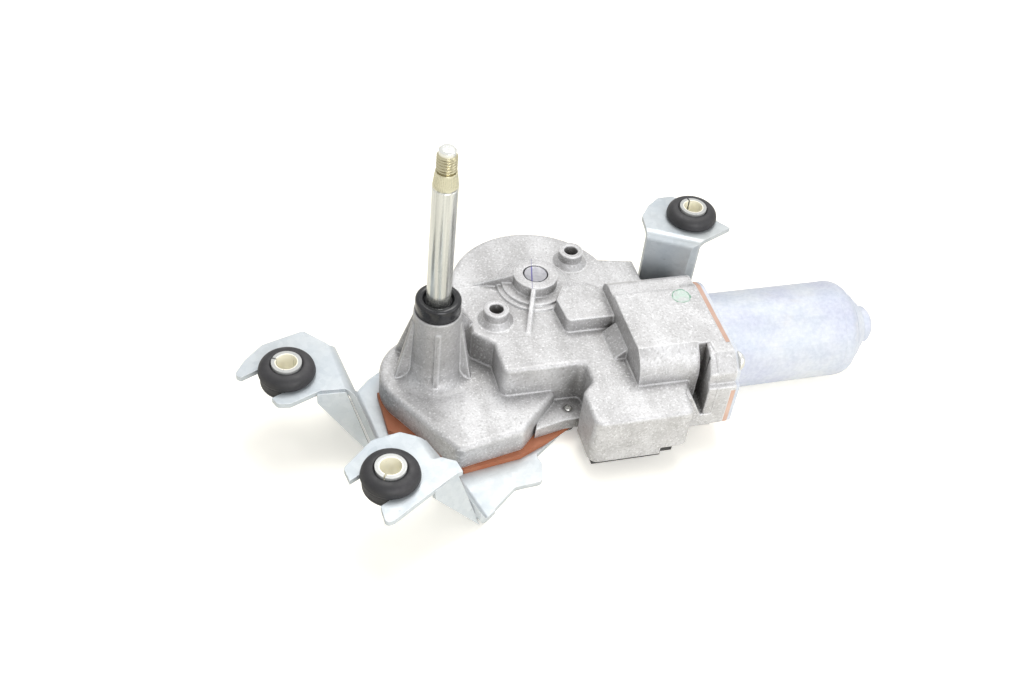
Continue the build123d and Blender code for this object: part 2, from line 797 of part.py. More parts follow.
with BuildPart() as output_shaft:
    with BuildSketch(Plane.XZ):
        with BuildLine():
            Polyline(
                (0.0, spindleFoot), (spindleR - 1.4, spindleFoot), (spindleR - 1.0, spindleFoot + 0.4),
                (spindleR - 1.0, gearBottom), (spindleR, gearBottom), (spindleR, clipBottom),
                (spindleR - 0.6, clipBottom), (spindleR - 0.6, clipBottom + clipGroove),
                (spindleR, clipBottom + clipGroove), (spindleR, capTop - ringGroove),
                (spindleR - 0.3, capTop - ringGroove), (spindleR - 0.3, capTop), (spindleR, capTop),
                (spindleR, taperStart), (threadR + 0.2, threadStart),
                (threadR - 0.6, threadStart), (threadR - 0.6, threadStart + 1.2),
                (threadR, threadStart + 1.8),
                (threadR, spindleTip - 1.6), (threadR - 1.4, spindleTip), (0.0, spindleTip),
                (0.0, spindleFoot),
            )
        make_face()
    revolve(axis=Axis.Z)
save(output_shaft, "output_shaft")

with BuildPart() as shaft_bush_upper:
    with BuildSketch(Plane.XY.offset(towerTop - bushLength - bushGap)):
        Circle(bushR - pressFit)
        Circle(spindleR + runFit, mode=Mode.SUBTRACT)
    extrude(amount=bushLength)
save(shaft_bush_upper, "shaft_bush_upper")

with BuildPart() as shaft_bush_lower:
    with BuildSketch(Plane.XY.offset(chamberTop)):
        Circle(bushR - pressFit)
        Circle(spindleR + runFit, mode=Mode.SUBTRACT)
    extrude(amount=bushLength)
save(shaft_bush_lower, "shaft_bush_lower")

with BuildPart() as thrust_washer:
    with BuildSketch(Plane.XY.offset(gearTop)):
        Circle(bushR + 2.0)
        Circle(spindleR + pressFit, mode=Mode.SUBTRACT)
    extrude(amount=chamberTop - slideGap - gearTop)
save(thrust_washer, "thrust_washer")

with BuildPart() as shaft_clip:
    with BuildSketch(Plane.XY.offset(clipBottom + 0.05)):
        Circle(clipR)
        Circle(spindleR - 0.6 + pressFit, mode=Mode.SUBTRACT)
        with Locations((clipR, 0)):
            Rectangle(2 * clipR, 3.0, mode=Mode.SUBTRACT)
    extrude(amount=clipGroove - 0.1)
save(shaft_clip, "shaft_clip")

with BuildPart() as seal_cap:
    with BuildSketch(Plane.XZ):
        with BuildLine():
            Polyline(
                (spindleR + 0.05, capTop - 1.2), (spindleR + 0.05, capTop - capRoof - 0.8),
                (capInnerR, capTop - capRoof - 0.8), (capInnerR, towerTop), (capR, towerTop),
                (capR, capTop - 1.0), (capR - 1.0, capTop),
                (capR - 2.2, capTop), (capR - 2.6, capTop - 1.2),
                (spindleR + 0.05, capTop - 1.2),
            )
        make_face()
    revolve(axis=Axis.Z)
save(seal_cap, "seal_cap")

# Gears. A tooth is a trapezium on the pitch circle with a pressure angle of 20 degrees.
pressureAngle = 20.0
addendum = 0.8
dedendum = 1.1


def toothFace(pitchR, module, turn, x=0.0, y=0.0):
    """One tooth of a gear centred on x, y, pointing along the given angle."""
    half = pi * module / 4 - backlash
    slope = tan(radians(pressureAngle))
    up = addendum * module
    down = dedendum * module
    with Locations(Location((x, y, 0), turn)):
        Polygon(
            (pitchR - down - 0.5, -half - down * slope),
            (pitchR - down, -half - down * slope),
            (pitchR + up, -half + up * slope),
            (pitchR + up, half - up * slope),
            (pitchR - down, half + down * slope),
            (pitchR - down - 0.5, half + down * slope),
            align=None,
        )


sectorPitch = 360 / sectorTeeth
pinionPitch = 360 / pinionTeeth
sectorMid = rodAngle + sectorMidAngle
meshAngle = parkAngle + 180
meshOffset = (sectorMid - meshAngle) / sectorPitch
gapTurn = parkAngle - (meshOffset - round(meshOffset)) * pinionPitch

with BuildPart() as output_pinion:
    with BuildSketch(Plane.XY.offset(gearBottom)):
        Circle(pinionR - dedendum * toothModule)
        for tooth in range(pinionTeeth):
            toothFace(pinionR, toothModule, gapTurn + (tooth + 0.5) * pinionPitch)
        Circle(spindleR + pressFit, mode=Mode.SUBTRACT)
    extrude(amount=gearThick)
save(output_pinion, "output_pinion")

sectorHubR = 7.4
rodEyeR = 6.2
rodThick = gearThick

with BuildPart() as sector_gear:
    with BuildSketch(Plane.XY.offset(gearBottom)):
        with Locations((sectorX, sectorY)):
            Circle(sectorHubR)
        with BuildLine():
            spread = sectorShownTeeth * sectorPitch / 2
            rootR = sectorR - dedendum * toothModule
            first = towards(rootR, sectorMid - spread, sectorX, sectorY)
            middle = towards(rootR, sectorMid, sectorX, sectorY)
            last = towards(rootR, sectorMid + spread, sectorX, sectorY)
            ThreePointArc(first, middle, last)
            Line(last, (sectorX, sectorY))
            Line((sectorX, sectorY), first)
        make_face()
        for tooth in range(sectorShownTeeth):
            toothTurn = sectorMid + (tooth - (sectorShownTeeth - 1) / 2) * sectorPitch
            toothFace(sectorR, toothModule, toothTurn, sectorX, sectorY)
        with BuildLine():
            Polyline(
                towards(sectorHubR - 0.6, rodAngle + 90, sectorX, sectorY),
                towards(rodEyeR - 1.6, rodAngle + 90, crankX, crankY),
                towards(rodEyeR - 1.6, rodAngle - 90, crankX, crankY),
                towards(sectorHubR - 0.6, rodAngle - 90, sectorX, sectorY),
                towards(sectorHubR - 0.6, rodAngle + 90, sectorX, sectorY),
            )
        make_face()
        with Locations((crankX, crankY)):
            Circle(rodEyeR)
            Circle(crankPinR + runFit, mode=Mode.SUBTRACT)
        with Locations((sectorX, sectorY)):
            Circle(pivotPinR + runFit, mode=Mode.SUBTRACT)
    extrude(amount=rodThick)
save(sector_gear, "sector_gear")

with BuildPart() as holder_link:
    with BuildSketch(Plane.XY.offset(holderBottom)):
        with BuildLine():
            Polyline(
                towards(sectorHubR, parkAngle + 90), towards(sectorHubR, parkAngle + 90, sectorX, sectorY),
                towards(sectorHubR, parkAngle - 90, sectorX, sectorY), towards(sectorHubR, parkAngle - 90),
                towards(sectorHubR, parkAngle + 90),
            )
        make_face()
        Circle(sectorHubR)
        with Locations((sectorX, sectorY)):
            Circle(sectorHubR)
            Circle(pivotPinR, mode=Mode.SUBTRACT)
        Circle(spindleR - 1.0 + runFit, mode=Mode.SUBTRACT)
    extrude(amount=holderThick)
save(holder_link, "holder_link")

with BuildPart() as sector_pin:
    with BuildSketch(Plane.XY.offset(holderBottom)):
        with Locations((sectorX, sectorY)):
            Circle(pivotPinR - pressFit)
    extrude(amount=gearTop + 1.2 - holderBottom)
    with BuildSketch(Plane.XY.offset(gearTop + slideGap)):
        with Locations((sectorX, sectorY)):
            Circle(pivotPinR + 1.4)
    extrude(amount=1.2)
save(sector_pin, "sector_pin")

wheelHubR = 15.4
wheelWeb = 3.6
wheelRimR = 26.4
toothHeight = 2.0
clipThick = 1.0
axleClipR = 7.4
hubTop = deckChamberTop - seatGap

with BuildPart() as worm_wheel:
    with BuildSketch(Plane(origin=(wheelX, wheelY, 0), x_dir=(1, 0, 0), z_dir=(0, -1, 0))):
        with BuildLine():
            wheelTop = wheelBottom + wheelThick
            Polyline(
                (axleR + runFit, wheelBottom), (wheelHubR, wheelBottom), (wheelHubR, wheelBottom + 1.4),
                (wheelRimR, wheelBottom + 1.4), (wheelRimR, wheelBottom),
                (wheelR - toothHeight, wheelBottom),
                (wheelR - toothHeight, wheelTop), (wheelRimR, wheelTop),
                (wheelRimR, wheelBottom + 1.4 + wheelWeb),
                (axleR + 4.4, wheelBottom + 1.4 + wheelWeb), (axleR + 4.0, hubTop),
                (axleR + runFit, hubTop),
                (axleR + runFit, wheelBottom),
            )
        make_face()
    revolve(axis=Axis((wheelX, wheelY, 0), (0, 0, 1)))
    with BuildSketch(Plane.XY.offset(wheelBottom)):
        with Locations((wheelX, wheelY)):
            with PolarLocations(wheelR - toothHeight / 2 - 0.2, wheelTeeth):
                Rectangle(toothHeight + 0.4, 1.5)
    extrude(amount=wheelThick)
    with BuildSketch(Plane.XY.offset(wheelBottom)):
        with Locations((crankX, crankY)):
            Circle(crankPinR)
    extrude(amount=wheelWeb, mode=Mode.SUBTRACT)
save(worm_wheel, "worm_wheel")

with BuildPart() as crank_pin:
    with BuildSketch(Plane.XY.offset(gearTop + seatGap)):
        with Locations((crankX, crankY)):
            Circle(crankPinR - pressFit)
    extrude(amount=wheelBottom + wheelWeb - gearTop - seatGap)
save(crank_pin, "crank_pin")

axleBottom = wheelBottom - clipThick - 1.6
with BuildPart() as wheel_axle:
    with BuildSketch(Plane(origin=(wheelX, wheelY, 0), x_dir=(1, 0, 0), z_dir=(0, -1, 0))):
        with BuildLine():
            Polyline(
                (0.0, axleBottom), (axleR - 0.5, axleBottom), (axleR, axleBottom + 0.5),
                (axleR, wheelBottom - clipThick - 0.3), (axleR - 0.8, wheelBottom - clipThick - 0.3),
                (axleR - 0.8, wheelBottom - 0.2), (axleR, wheelBottom - 0.2),
                (axleR, axleBossTop - 0.4), (axleR - 0.4, axleBossTop), (0.0, axleBossTop),
                (0.0, axleBottom),
            )
        make_face()
    revolve(axis=Axis((wheelX, wheelY, 0), (0, 0, 1)))
save(wheel_axle, "wheel_axle")

with BuildPart() as wheel_clip:
    with BuildSketch(Plane.XY.offset(wheelBottom - clipThick - 0.25)):
        with Locations((wheelX, wheelY)):
            Circle(axleClipR)
            Circle(axleR - 0.8 + pressFit, mode=Mode.SUBTRACT)
        with Locations((wheelX + axleClipR, wheelY)):
            Rectangle(2 * axleClipR, 3.4, mode=Mode.SUBTRACT)
    extrude(amount=clipThick)
save(wheel_clip, "wheel_clip")

# Motor.
alongShaft = Plane(origin=(0, motorY, motorZ), x_dir=(1, 0, 0), z_dir=(0, -1, 0))
shaftAxis = Axis((0, motorY, motorZ), (1, 0, 0))
shaftStart = 29.0
shaftEnd = canEnd + 10.6
wormStart, wormLength = 38.4, 24.0
canBearingLength = 8.0
canPlateThick = 1.6
canEdgeR = 3.6
wormPitch = 3.14

with BuildPart() as armature_shaft:
    with BuildSketch(alongShaft):
        with BuildLine():
            Polyline(
                (shaftStart, 0.0), (shaftStart, motorShaftR - 0.5), (shaftStart + 0.5, motorShaftR),
                (shaftEnd - 0.5, motorShaftR), (shaftEnd, motorShaftR - 0.5), (shaftEnd, 0.0),
                (shaftStart, 0.0),
            )
        make_face()
    revolve(axis=shaftAxis)
    with BuildSketch(alongShaft):
        for turn in range(int(wormLength / wormPitch)):
            ridge = wormStart + (turn + 0.5) * wormPitch
            with Locations((ridge, 0)):
                Polygon(
                    (-0.95, motorShaftR - 0.4), (0.95, motorShaftR - 0.4),
                    (0.55, wormR), (-0.55, wormR), align=None,
                )
    revolve(axis=shaftAxis)
save(armature_shaft, "armature_shaft")


def ring(start, length, outer, inner):
    """A plain collar round the motor shaft."""
    with BuildPart() as collar:
        with BuildSketch(acrossShaft(start)):
            Circle(outer)
            Circle(inner, mode=Mode.SUBTRACT)
        extrude(amount=length)
    return collar


save(ring(wormBushStart, wormBushLength, wormBushR - pressFit, motorShaftR + runFit), "worm_bush")
centreBushStart = brushRoomStart - centreBushLength
save(ring(centreBushStart, centreBushLength, centreBushR - pressFit, motorShaftR + runFit), "centre_bush")
canBushStart = canEnd + 2.4
save(ring(canBushStart, canBearingLength, canBossR - canWall - pressFit, motorShaftR + runFit), "can_bush")

with BuildPart() as armature_core:
    with BuildSketch(acrossShaft(coreStart)):
        Circle(coreR)
        Circle(motorShaftR + pressFit, mode=Mode.SUBTRACT)
        with PolarLocations(coreR - 2.6, coreSlots):
            Rectangle(5.4, 2.6, mode=Mode.SUBTRACT)
    extrude(amount=coreLength)
save(armature_core, "armature_core")

windingReach = 6.0
with BuildPart() as armature_winding:
    for start in (coreStart - windingReach, coreStart + coreLength + 0.05):
        with BuildSketch(acrossShaft(start)):
            Circle(coreR - 0.8)
            Circle(motorShaftR + 1.4, mode=Mode.SUBTRACT)
        extrude(amount=windingReach - 0.05)
    with BuildSketch(acrossShaft(coreStart - 0.1)):
        with PolarLocations(coreR - 3.0, coreSlots):
            Rectangle(4.2, 2.4)
    extrude(amount=coreLength + 0.2)
save(armature_winding, "armature_winding")

commutatorStart, commutatorLength = 97.0, 15.0
with BuildPart() as commutator:
    with BuildSketch(acrossShaft(commutatorStart)):
        Circle(commutatorR)
        Circle(motorShaftR + pressFit, mode=Mode.SUBTRACT)
        with PolarLocations(commutatorR, commutatorBars):
            Rectangle(1.4, 0.6, mode=Mode.SUBTRACT)
    extrude(amount=commutatorLength)
save(commutator, "commutator")

holderPlateThick = 2.4
holderStart = 93.0
brushWide, brushLong = 7.0, 6.8
brushStart = 99.0
brushTall = 5.0
with BuildPart() as brush_holder:
    with BuildSketch(acrossShaft(holderStart)):
        Circle(brushRoomR - 0.1)
        with Locations((0.0, brushRoomFloor + 0.1 - motorZ - brushRoomR)):
            Rectangle(4 * brushRoomR, 2 * brushRoomR, mode=Mode.SUBTRACT)
        Circle(commutatorR + 1.2, mode=Mode.SUBTRACT)
    extrude(amount=holderPlateThick)
    with BuildSketch(acrossShaft(holderStart + holderPlateThick)):
        for side in (-1, 1):
            with Locations((side * (commutatorR + 1.6 + brushLong / 2), 0.0)):
                Rectangle(brushLong, brushTall + 2.4)
    extrude(amount=brushStart + brushWide + 1.2 - holderStart - holderPlateThick)
    with BuildSketch(acrossShaft(brushStart - 0.05)):
        Rectangle(4 * brushRoomR, brushTall + 0.1)
    extrude(amount=brushWide + 0.1, mode=Mode.SUBTRACT)
save(brush_holder, "brush_holder")

with BuildPart() as brushes:
    with BuildSketch(acrossShaft(brushStart)):
        for side in (-1, 1):
            with Locations((side * (commutatorR + 0.3 + brushLong / 2), 0.0)):
                Rectangle(brushLong, brushTall)
    extrude(amount=brushWide)
save(brushes, "brushes")

canInner = canR - canWall
with BuildPart() as motor_can:
    with BuildSketch(alongShaft):
        with BuildLine():
            Polyline((canPlateStart, canInner), (canPlateStart, canR), (canEnd - canEdgeR, canR))
            RadiusArc((canEnd - canEdgeR, canR), (canEnd, canR - canEdgeR), canEdgeR)
            Polyline(
                (canEnd, canR - canEdgeR), (canEnd, canBossR + 1.0), (canEnd + 1.0, canBossR),
                (canBossEnd - 1.5, canBossR), (canBossEnd, canBossR - 1.5), (canBossEnd, 0.0),
                (canBossEnd - canWall, 0.0), (canBossEnd - canWall, canBossR - canWall),
                (canEnd - canWall + 0.4, canBossR - canWall), (canEnd - canWall, canBossR - canWall + 0.4),
                (canEnd - canWall, canInner - 2.0), (canEnd - canWall - 2.0, canInner),
                (canPlateStart, canInner),
            )
        make_face()
    revolve(axis=shaftAxis)
    with BuildSketch(flangePlane.offset(canPlateStart)):
        add(flangeOutline.sketch_local)
        offset(amount=-0.3)
        with Locations((motorY, motorZ)):
            Circle(canR - 0.4)
            Circle(canInner, mode=Mode.SUBTRACT)
        with Locations((ear1Y, ear1Z), (ear2Y, ear2Z)):
            Circle(earScrewR + 0.15, mode=Mode.SUBTRACT)
    extrude(amount=canPlateThick)
save(motor_can, "motor_can")

with BuildPart() as motor_gasket:
    with BuildSketch(flangePlane.offset(flangeEnd)):
        add(flangeOutline.sketch_local)
        offset(amount=-0.1)
        with Locations((-40.0, 45.0)):
            Rectangle(17.4, 27.4, mode=Mode.SUBTRACT)
        with Locations((motorY, motorZ)):
            Circle(brushRoomR + 0.4, mode=Mode.SUBTRACT)
        with Locations((ear2Y, ear2Z)):
            Circle(earScrewR + 0.15, mode=Mode.SUBTRACT)
    extrude(amount=motorGasketThick)
save(motor_gasket, "motor_gasket")

screwHeadThick = 2.6
screwShank = 11.0
with BuildPart() as can_screws:
    for y, z in ((ear1Y, ear1Z), (ear2Y, ear2Z)):
        headStart = canPlateStart + canPlateThick
        with BuildSketch(Plane(origin=(0, y, z), x_dir=(1, 0, 0), z_dir=(0, -1, 0))):
            with BuildLine():
                Polyline(
                    (headStart - screwShank, 0.0), (headStart - screwShank, earScrewR),
                    (headStart, earScrewR), (headStart, canScrewHeadR), (headStart + 1.4, canScrewHeadR),
                    (headStart + screwHeadThick, canScrewHeadR - 1.2), (headStart + screwHeadThick, 0.0),
                    (headStart - screwShank, 0.0),
                )
            make_face()
        revolve(axis=Axis((0, y, z), (1, 0, 0)))
save(can_screws, "can_screws")

magnetStart, magnetLength = 121.0, 42.0
magnetSpan = 116.0
for side, turn in (("front", 180.0), ("rear", 0.0)):
    with BuildPart() as magnet:
        with BuildSketch(acrossShaft(magnetStart)):
            with BuildLine():
                outerR = canInner - 0.05
                innerR = outerR - magnetThick
                ThreePointArc(
                    towards(outerR, turn - magnetSpan / 2), towards(outerR, turn),
                    towards(outerR, turn + magnetSpan / 2)
                )
                Line(towards(outerR, turn + magnetSpan / 2), towards(innerR, turn + magnetSpan / 2))
                ThreePointArc(
                    towards(innerR, turn + magnetSpan / 2), towards(innerR, turn),
                    towards(innerR, turn - magnetSpan / 2)
                )
                Line(towards(innerR, turn - magnetSpan / 2), towards(outerR, turn - magnetSpan / 2))
            make_face()
        extrude(amount=magnetLength)
    save(magnet, "magnet_" + side)

# Connector: a moulded cover under the connector box, with a socket that opens downwards.
socketX, socketY = 76.0, -40.0
socketLong, socketWide = 22.0, 10.0
socketDeep = 12.0
socketWall = 1.6
connectorBottom = 6.3
coverThick = boxBottom - connectorBottom
coverBack = -33.0
coverFrontGap = 0.8
stepEnd = 89.5
stepInset = -50.0
coverRightEnd = 92.9
stepLow = 8.4
boardThick = 1.6
boardBottom = 20.0
boardLong, boardWide = 31.0, 13.0
pinCount = 4
pinSpacing = 4.6
pinSize = 1.0

with BuildPart() as connector_housing:
    with BuildSketch(Plane.XY.offset(connectorBottom)):
        Polygon(
            (connectorLeft + 1.2, -38.0),
            (connectorLeft + 1.2, connectorFront + coverFrontGap),
            (stepStart + 0.6, connectorFront + coverFrontGap),
            (stepStart + 0.6, coverBack),
            (pocketX + connectorWall + 0.2, coverBack),
            align=None,
        )
    extrude(amount=coverThick)
    with BuildSketch(Plane.XY.offset(connectorBottom)):
        Polygon(
            (stepStart + 0.1, connectorFront + coverFrontGap),
            (stepStart + 0.6, connectorFront + coverFrontGap),
            (stepStart + 0.6, coverBack),
            (stepStart + 0.1, coverBack),
            align=None,
        )
    extrude(amount=stepBottom - connectorBottom)
    with BuildSketch(Plane.XY.offset(stepLow)):
        Polygon(
            (stepStart + 0.1, connectorFront + coverFrontGap),
            (stepEnd, connectorFront + coverFrontGap),
            (stepEnd, stepInset),
            (coverRightEnd, stepInset),
            (coverRightEnd, coverBack),
            (stepStart + 0.1, coverBack),
            align=None,
        )
    extrude(amount=stepBottom - stepLow)
    with BuildSketch(Plane.XY.offset(connectorBottom)):
        with Locations((socketX, socketY)):
            Rectangle(socketLong + 2 * socketWall, socketWide + 2 * socketWall)
    extrude(amount=socketDeep + socketWall)
    with BuildSketch(Plane.XY.offset(connectorBottom)):
        with Locations((socketX, socketY)):
            Rectangle(socketLong, socketWide)
    extrude(amount=socketDeep, mode=Mode.SUBTRACT)
    with BuildSketch(Plane.XY.offset(connectorBottom)):
        with Locations((socketX, socketY)):
            with GridLocations(pinSpacing, 1, pinCount, 1):
                Rectangle(pinSize + 0.02, pinSize + 0.02)
    extrude(amount=socketDeep + 6.0, mode=Mode.SUBTRACT)
save(connector_housing, "connector_housing")

with BuildPart() as connector_pins:
    with BuildSketch(Plane.XY.offset(connectorBottom + 3.0)):
        with Locations((socketX, socketY)):
            with GridLocations(pinSpacing, 1, pinCount, 1):
                Rectangle(pinSize, pinSize)
    extrude(amount=boardBottom + boardThick + 1.0 - connectorBottom - 3.0)
save(connector_pins, "connector_pins")

with BuildPart() as circuit_board:
    with BuildSketch(Plane.XY.offset(boardBottom)):
        with Locations((socketX + 1.0, socketY - 1.4)):
            Rectangle(boardLong, boardWide)
        with Locations((socketX, socketY)):
            with GridLocations(pinSpacing, 1, pinCount, 1):
                Rectangle(pinSize + 0.02, pinSize + 0.02, mode=Mode.SUBTRACT)
    extrude(amount=boardThick)
save(circuit_board, "circuit_board")
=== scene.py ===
import bpy
import numpy as np
from mathutils import Matrix, Vector


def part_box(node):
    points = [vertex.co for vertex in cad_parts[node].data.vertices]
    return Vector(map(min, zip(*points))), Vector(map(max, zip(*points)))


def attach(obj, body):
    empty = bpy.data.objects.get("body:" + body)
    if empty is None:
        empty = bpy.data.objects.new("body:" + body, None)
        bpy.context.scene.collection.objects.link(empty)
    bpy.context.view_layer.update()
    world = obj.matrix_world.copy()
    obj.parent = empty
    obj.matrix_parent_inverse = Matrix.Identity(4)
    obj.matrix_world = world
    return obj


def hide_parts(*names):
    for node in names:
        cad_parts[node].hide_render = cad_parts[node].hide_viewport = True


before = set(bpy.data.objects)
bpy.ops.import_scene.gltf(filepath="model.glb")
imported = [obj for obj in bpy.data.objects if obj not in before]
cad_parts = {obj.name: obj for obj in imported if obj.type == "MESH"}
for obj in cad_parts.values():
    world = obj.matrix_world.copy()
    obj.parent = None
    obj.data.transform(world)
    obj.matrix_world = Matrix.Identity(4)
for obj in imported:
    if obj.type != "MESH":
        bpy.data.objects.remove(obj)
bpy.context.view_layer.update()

print("frame loaded:", len(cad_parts), "nodes")

mm = 0.001

cameraView = {
    "place": (-90.2, -354.8, 389.1),  # mm
    "turn": -19.15,  # degrees about the vertical, 0 looks along +Y
    "pitch": 43.82,  # degrees below the horizon
    "roll": 6.93,
    "lens": 43.36,
    "sensor": 36.0,
    "nearest": 0.01,  # metres
}


def aimCamera(view):
    # the forward, right and up vectors of a camera turned, pitched and then rolled
    turn, pitch, roll = np.radians([view["turn"], view["pitch"], view["roll"]])
    forward = np.array([-np.sin(turn) * np.cos(pitch), np.cos(turn) * np.cos(pitch), -np.sin(pitch)])
    level = np.array([np.cos(turn), np.sin(turn), 0.0])
    above = np.cross(level, forward)
    right = np.cos(roll) * level + np.sin(roll) * above
    up = -np.sin(roll) * level + np.cos(roll) * above
    place = np.array(view["place"]) * mm
    data = bpy.data.cameras.new("viewCamera")
    data.lens = view["lens"]
    data.sensor_width = view["sensor"]
    data.sensor_fit = "HORIZONTAL"
    data.clip_start = view["nearest"]
    camera = bpy.data.objects.new("viewCamera", data)
    bpy.context.collection.objects.link(camera)
    columns = np.column_stack([right, up, -forward, place])
    camera.matrix_world = Matrix(np.vstack([columns, [0, 0, 0, 1]]).tolist())
    bpy.context.scene.camera = camera


aimCamera(cameraView)
print("camera set")

lightSetup = {
    "worldStrength": 0.45,
    "worldColour": (1.0, 0.99, 0.975, 1.0),
    "lamps": [
        # name, place in metres, power in watts, size in metres, colour
        ("overheadLamp", (0.20, 0.30, 0.95), 6.2, 0.6, (1.0, 0.99, 0.97)),
        ("frontLamp", (0.12, -0.95, 0.42), 6.0, 0.6, (0.99, 0.99, 1.0)),
        ("rightLamp", (0.80, -0.40, 0.50), 1.4, 0.6, (0.94, 0.96, 1.0)),
    ],
    "target": (0.05, 0.0, 0.03),
}


def addLamp(target, name, place, power, size, colour):
    data = bpy.data.lights.new(name, "AREA")
    data.energy = power
    data.size = size
    data.color = colour
    lamp = bpy.data.objects.new(name, data)
    bpy.context.collection.objects.link(lamp)
    lamp.location = place
    lamp.rotation_euler = (Vector(target) - Vector(place)).to_track_quat("-Z", "Y").to_euler()


def whiteRays(tree):
    # 1 for the rays of the camera, of mirrors and of glass, and 0 for all others
    path = tree.nodes.new("ShaderNodeLightPath")
    white = path.outputs["Is Camera Ray"]
    for ray in ("Is Glossy Ray", "Is Transmission Ray"):
        either = tree.nodes.new("ShaderNodeMath")
        either.operation = "MAXIMUM"
        tree.links.new(white, either.inputs[0])
        tree.links.new(path.outputs[ray], either.inputs[1])
        white = either.outputs[0]
    return white


def setWorld(setup):
    # a pale world that lights the object, shown as plain white to the rays above
    world = bpy.data.worlds.new("studioWorld")
    bpy.context.scene.world = world
    world.use_nodes = True
    tree = world.node_tree
    tree.nodes.clear()
    light = tree.nodes.new("ShaderNodeBackground")
    light.inputs["Color"].default_value = setup["worldColour"]
    light.inputs["Strength"].default_value = setup["worldStrength"]
    white = tree.nodes.new("ShaderNodeBackground")
    white.inputs["Color"].default_value = (1, 1, 1, 1)
    white.inputs["Strength"].default_value = 1.0
    mix = tree.nodes.new("ShaderNodeMixShader")
    out = tree.nodes.new("ShaderNodeOutputWorld")
    tree.links.new(whiteRays(tree), mix.inputs[0])
    tree.links.new(light.outputs[0], mix.inputs[1])
    tree.links.new(white.outputs[0], mix.inputs[2])
    tree.links.new(mix.outputs[0], out.inputs["Surface"])


for lampRow in lightSetup["lamps"]:
    addLamp(lightSetup["target"], *lampRow)
setWorld(lightSetup)
bpy.context.scene.view_settings.view_transform = "Standard"

floorSetup = {
    "level": 0.0,
    "reach": 3.0,
    "colour": (1.0, 0.975, 0.89, 1.0),
    "ownLight": 0.30,  # near the object, so that its shade shows
    "farLight": 1.0,
    "nearReach": 0.28,
    "farReach": 0.70,
}


def palePaper(setup):
    # matt paper that also glows towards the camera, more so away from the object
    material = bpy.data.materials.new("palePaper")
    material.use_nodes = True
    tree = material.node_tree
    tree.nodes.clear()
    paper = tree.nodes.new("ShaderNodeBsdfDiffuse")
    paper.inputs["Color"].default_value = setup["colour"]
    glow = tree.nodes.new("ShaderNodeEmission")
    glow.inputs["Color"].default_value = (1, 1, 1, 1)
    path = tree.nodes.new("ShaderNodeLightPath")
    place = tree.nodes.new("ShaderNodeTexCoord")
    away = tree.nodes.new("ShaderNodeVectorMath")
    away.operation = "LENGTH"
    tree.links.new(place.outputs["Object"], away.inputs[0])
    growth = tree.nodes.new("ShaderNodeMapRange")
    growth.inputs["From Min"].default_value = setup["nearReach"]
    growth.inputs["From Max"].default_value = setup["farReach"]
    growth.inputs["To Min"].default_value = setup["ownLight"]
    growth.inputs["To Max"].default_value = setup["farLight"]
    tree.links.new(away.outputs["Value"], growth.inputs["Value"])
    seen = tree.nodes.new("ShaderNodeMath")
    seen.operation = "MULTIPLY"
    tree.links.new(growth.outputs[0], seen.inputs[1])
    tree.links.new(path.outputs["Is Camera Ray"], seen.inputs[0])
    tree.links.new(seen.outputs[0], glow.inputs["Strength"])
    both = tree.nodes.new("ShaderNodeAddShader")
    out = tree.nodes.new("ShaderNodeOutputMaterial")
    tree.links.new(paper.outputs[0], both.inputs[0])
    tree.links.new(glow.outputs[0], both.inputs[1])
    tree.links.new(both.outputs[0], out.inputs["Surface"])
    return material


def layFloor(setup):
    corners = np.array([[-1, -1, 0], [1, -1, 0], [1, 1, 0], [-1, 1, 0]]) * setup["reach"]
    mesh = bpy.data.meshes.new("studioFloor")
    mesh.from_pydata((corners + (0, 0, setup["level"])).tolist(), [], [(0, 1, 2, 3)])
    floor = bpy.data.objects.new("studioFloor", mesh)
    bpy.context.collection.objects.link(floor)
    mesh.materials.append(palePaper(setup))


layFloor(floorSetup)
print("light and floor set")


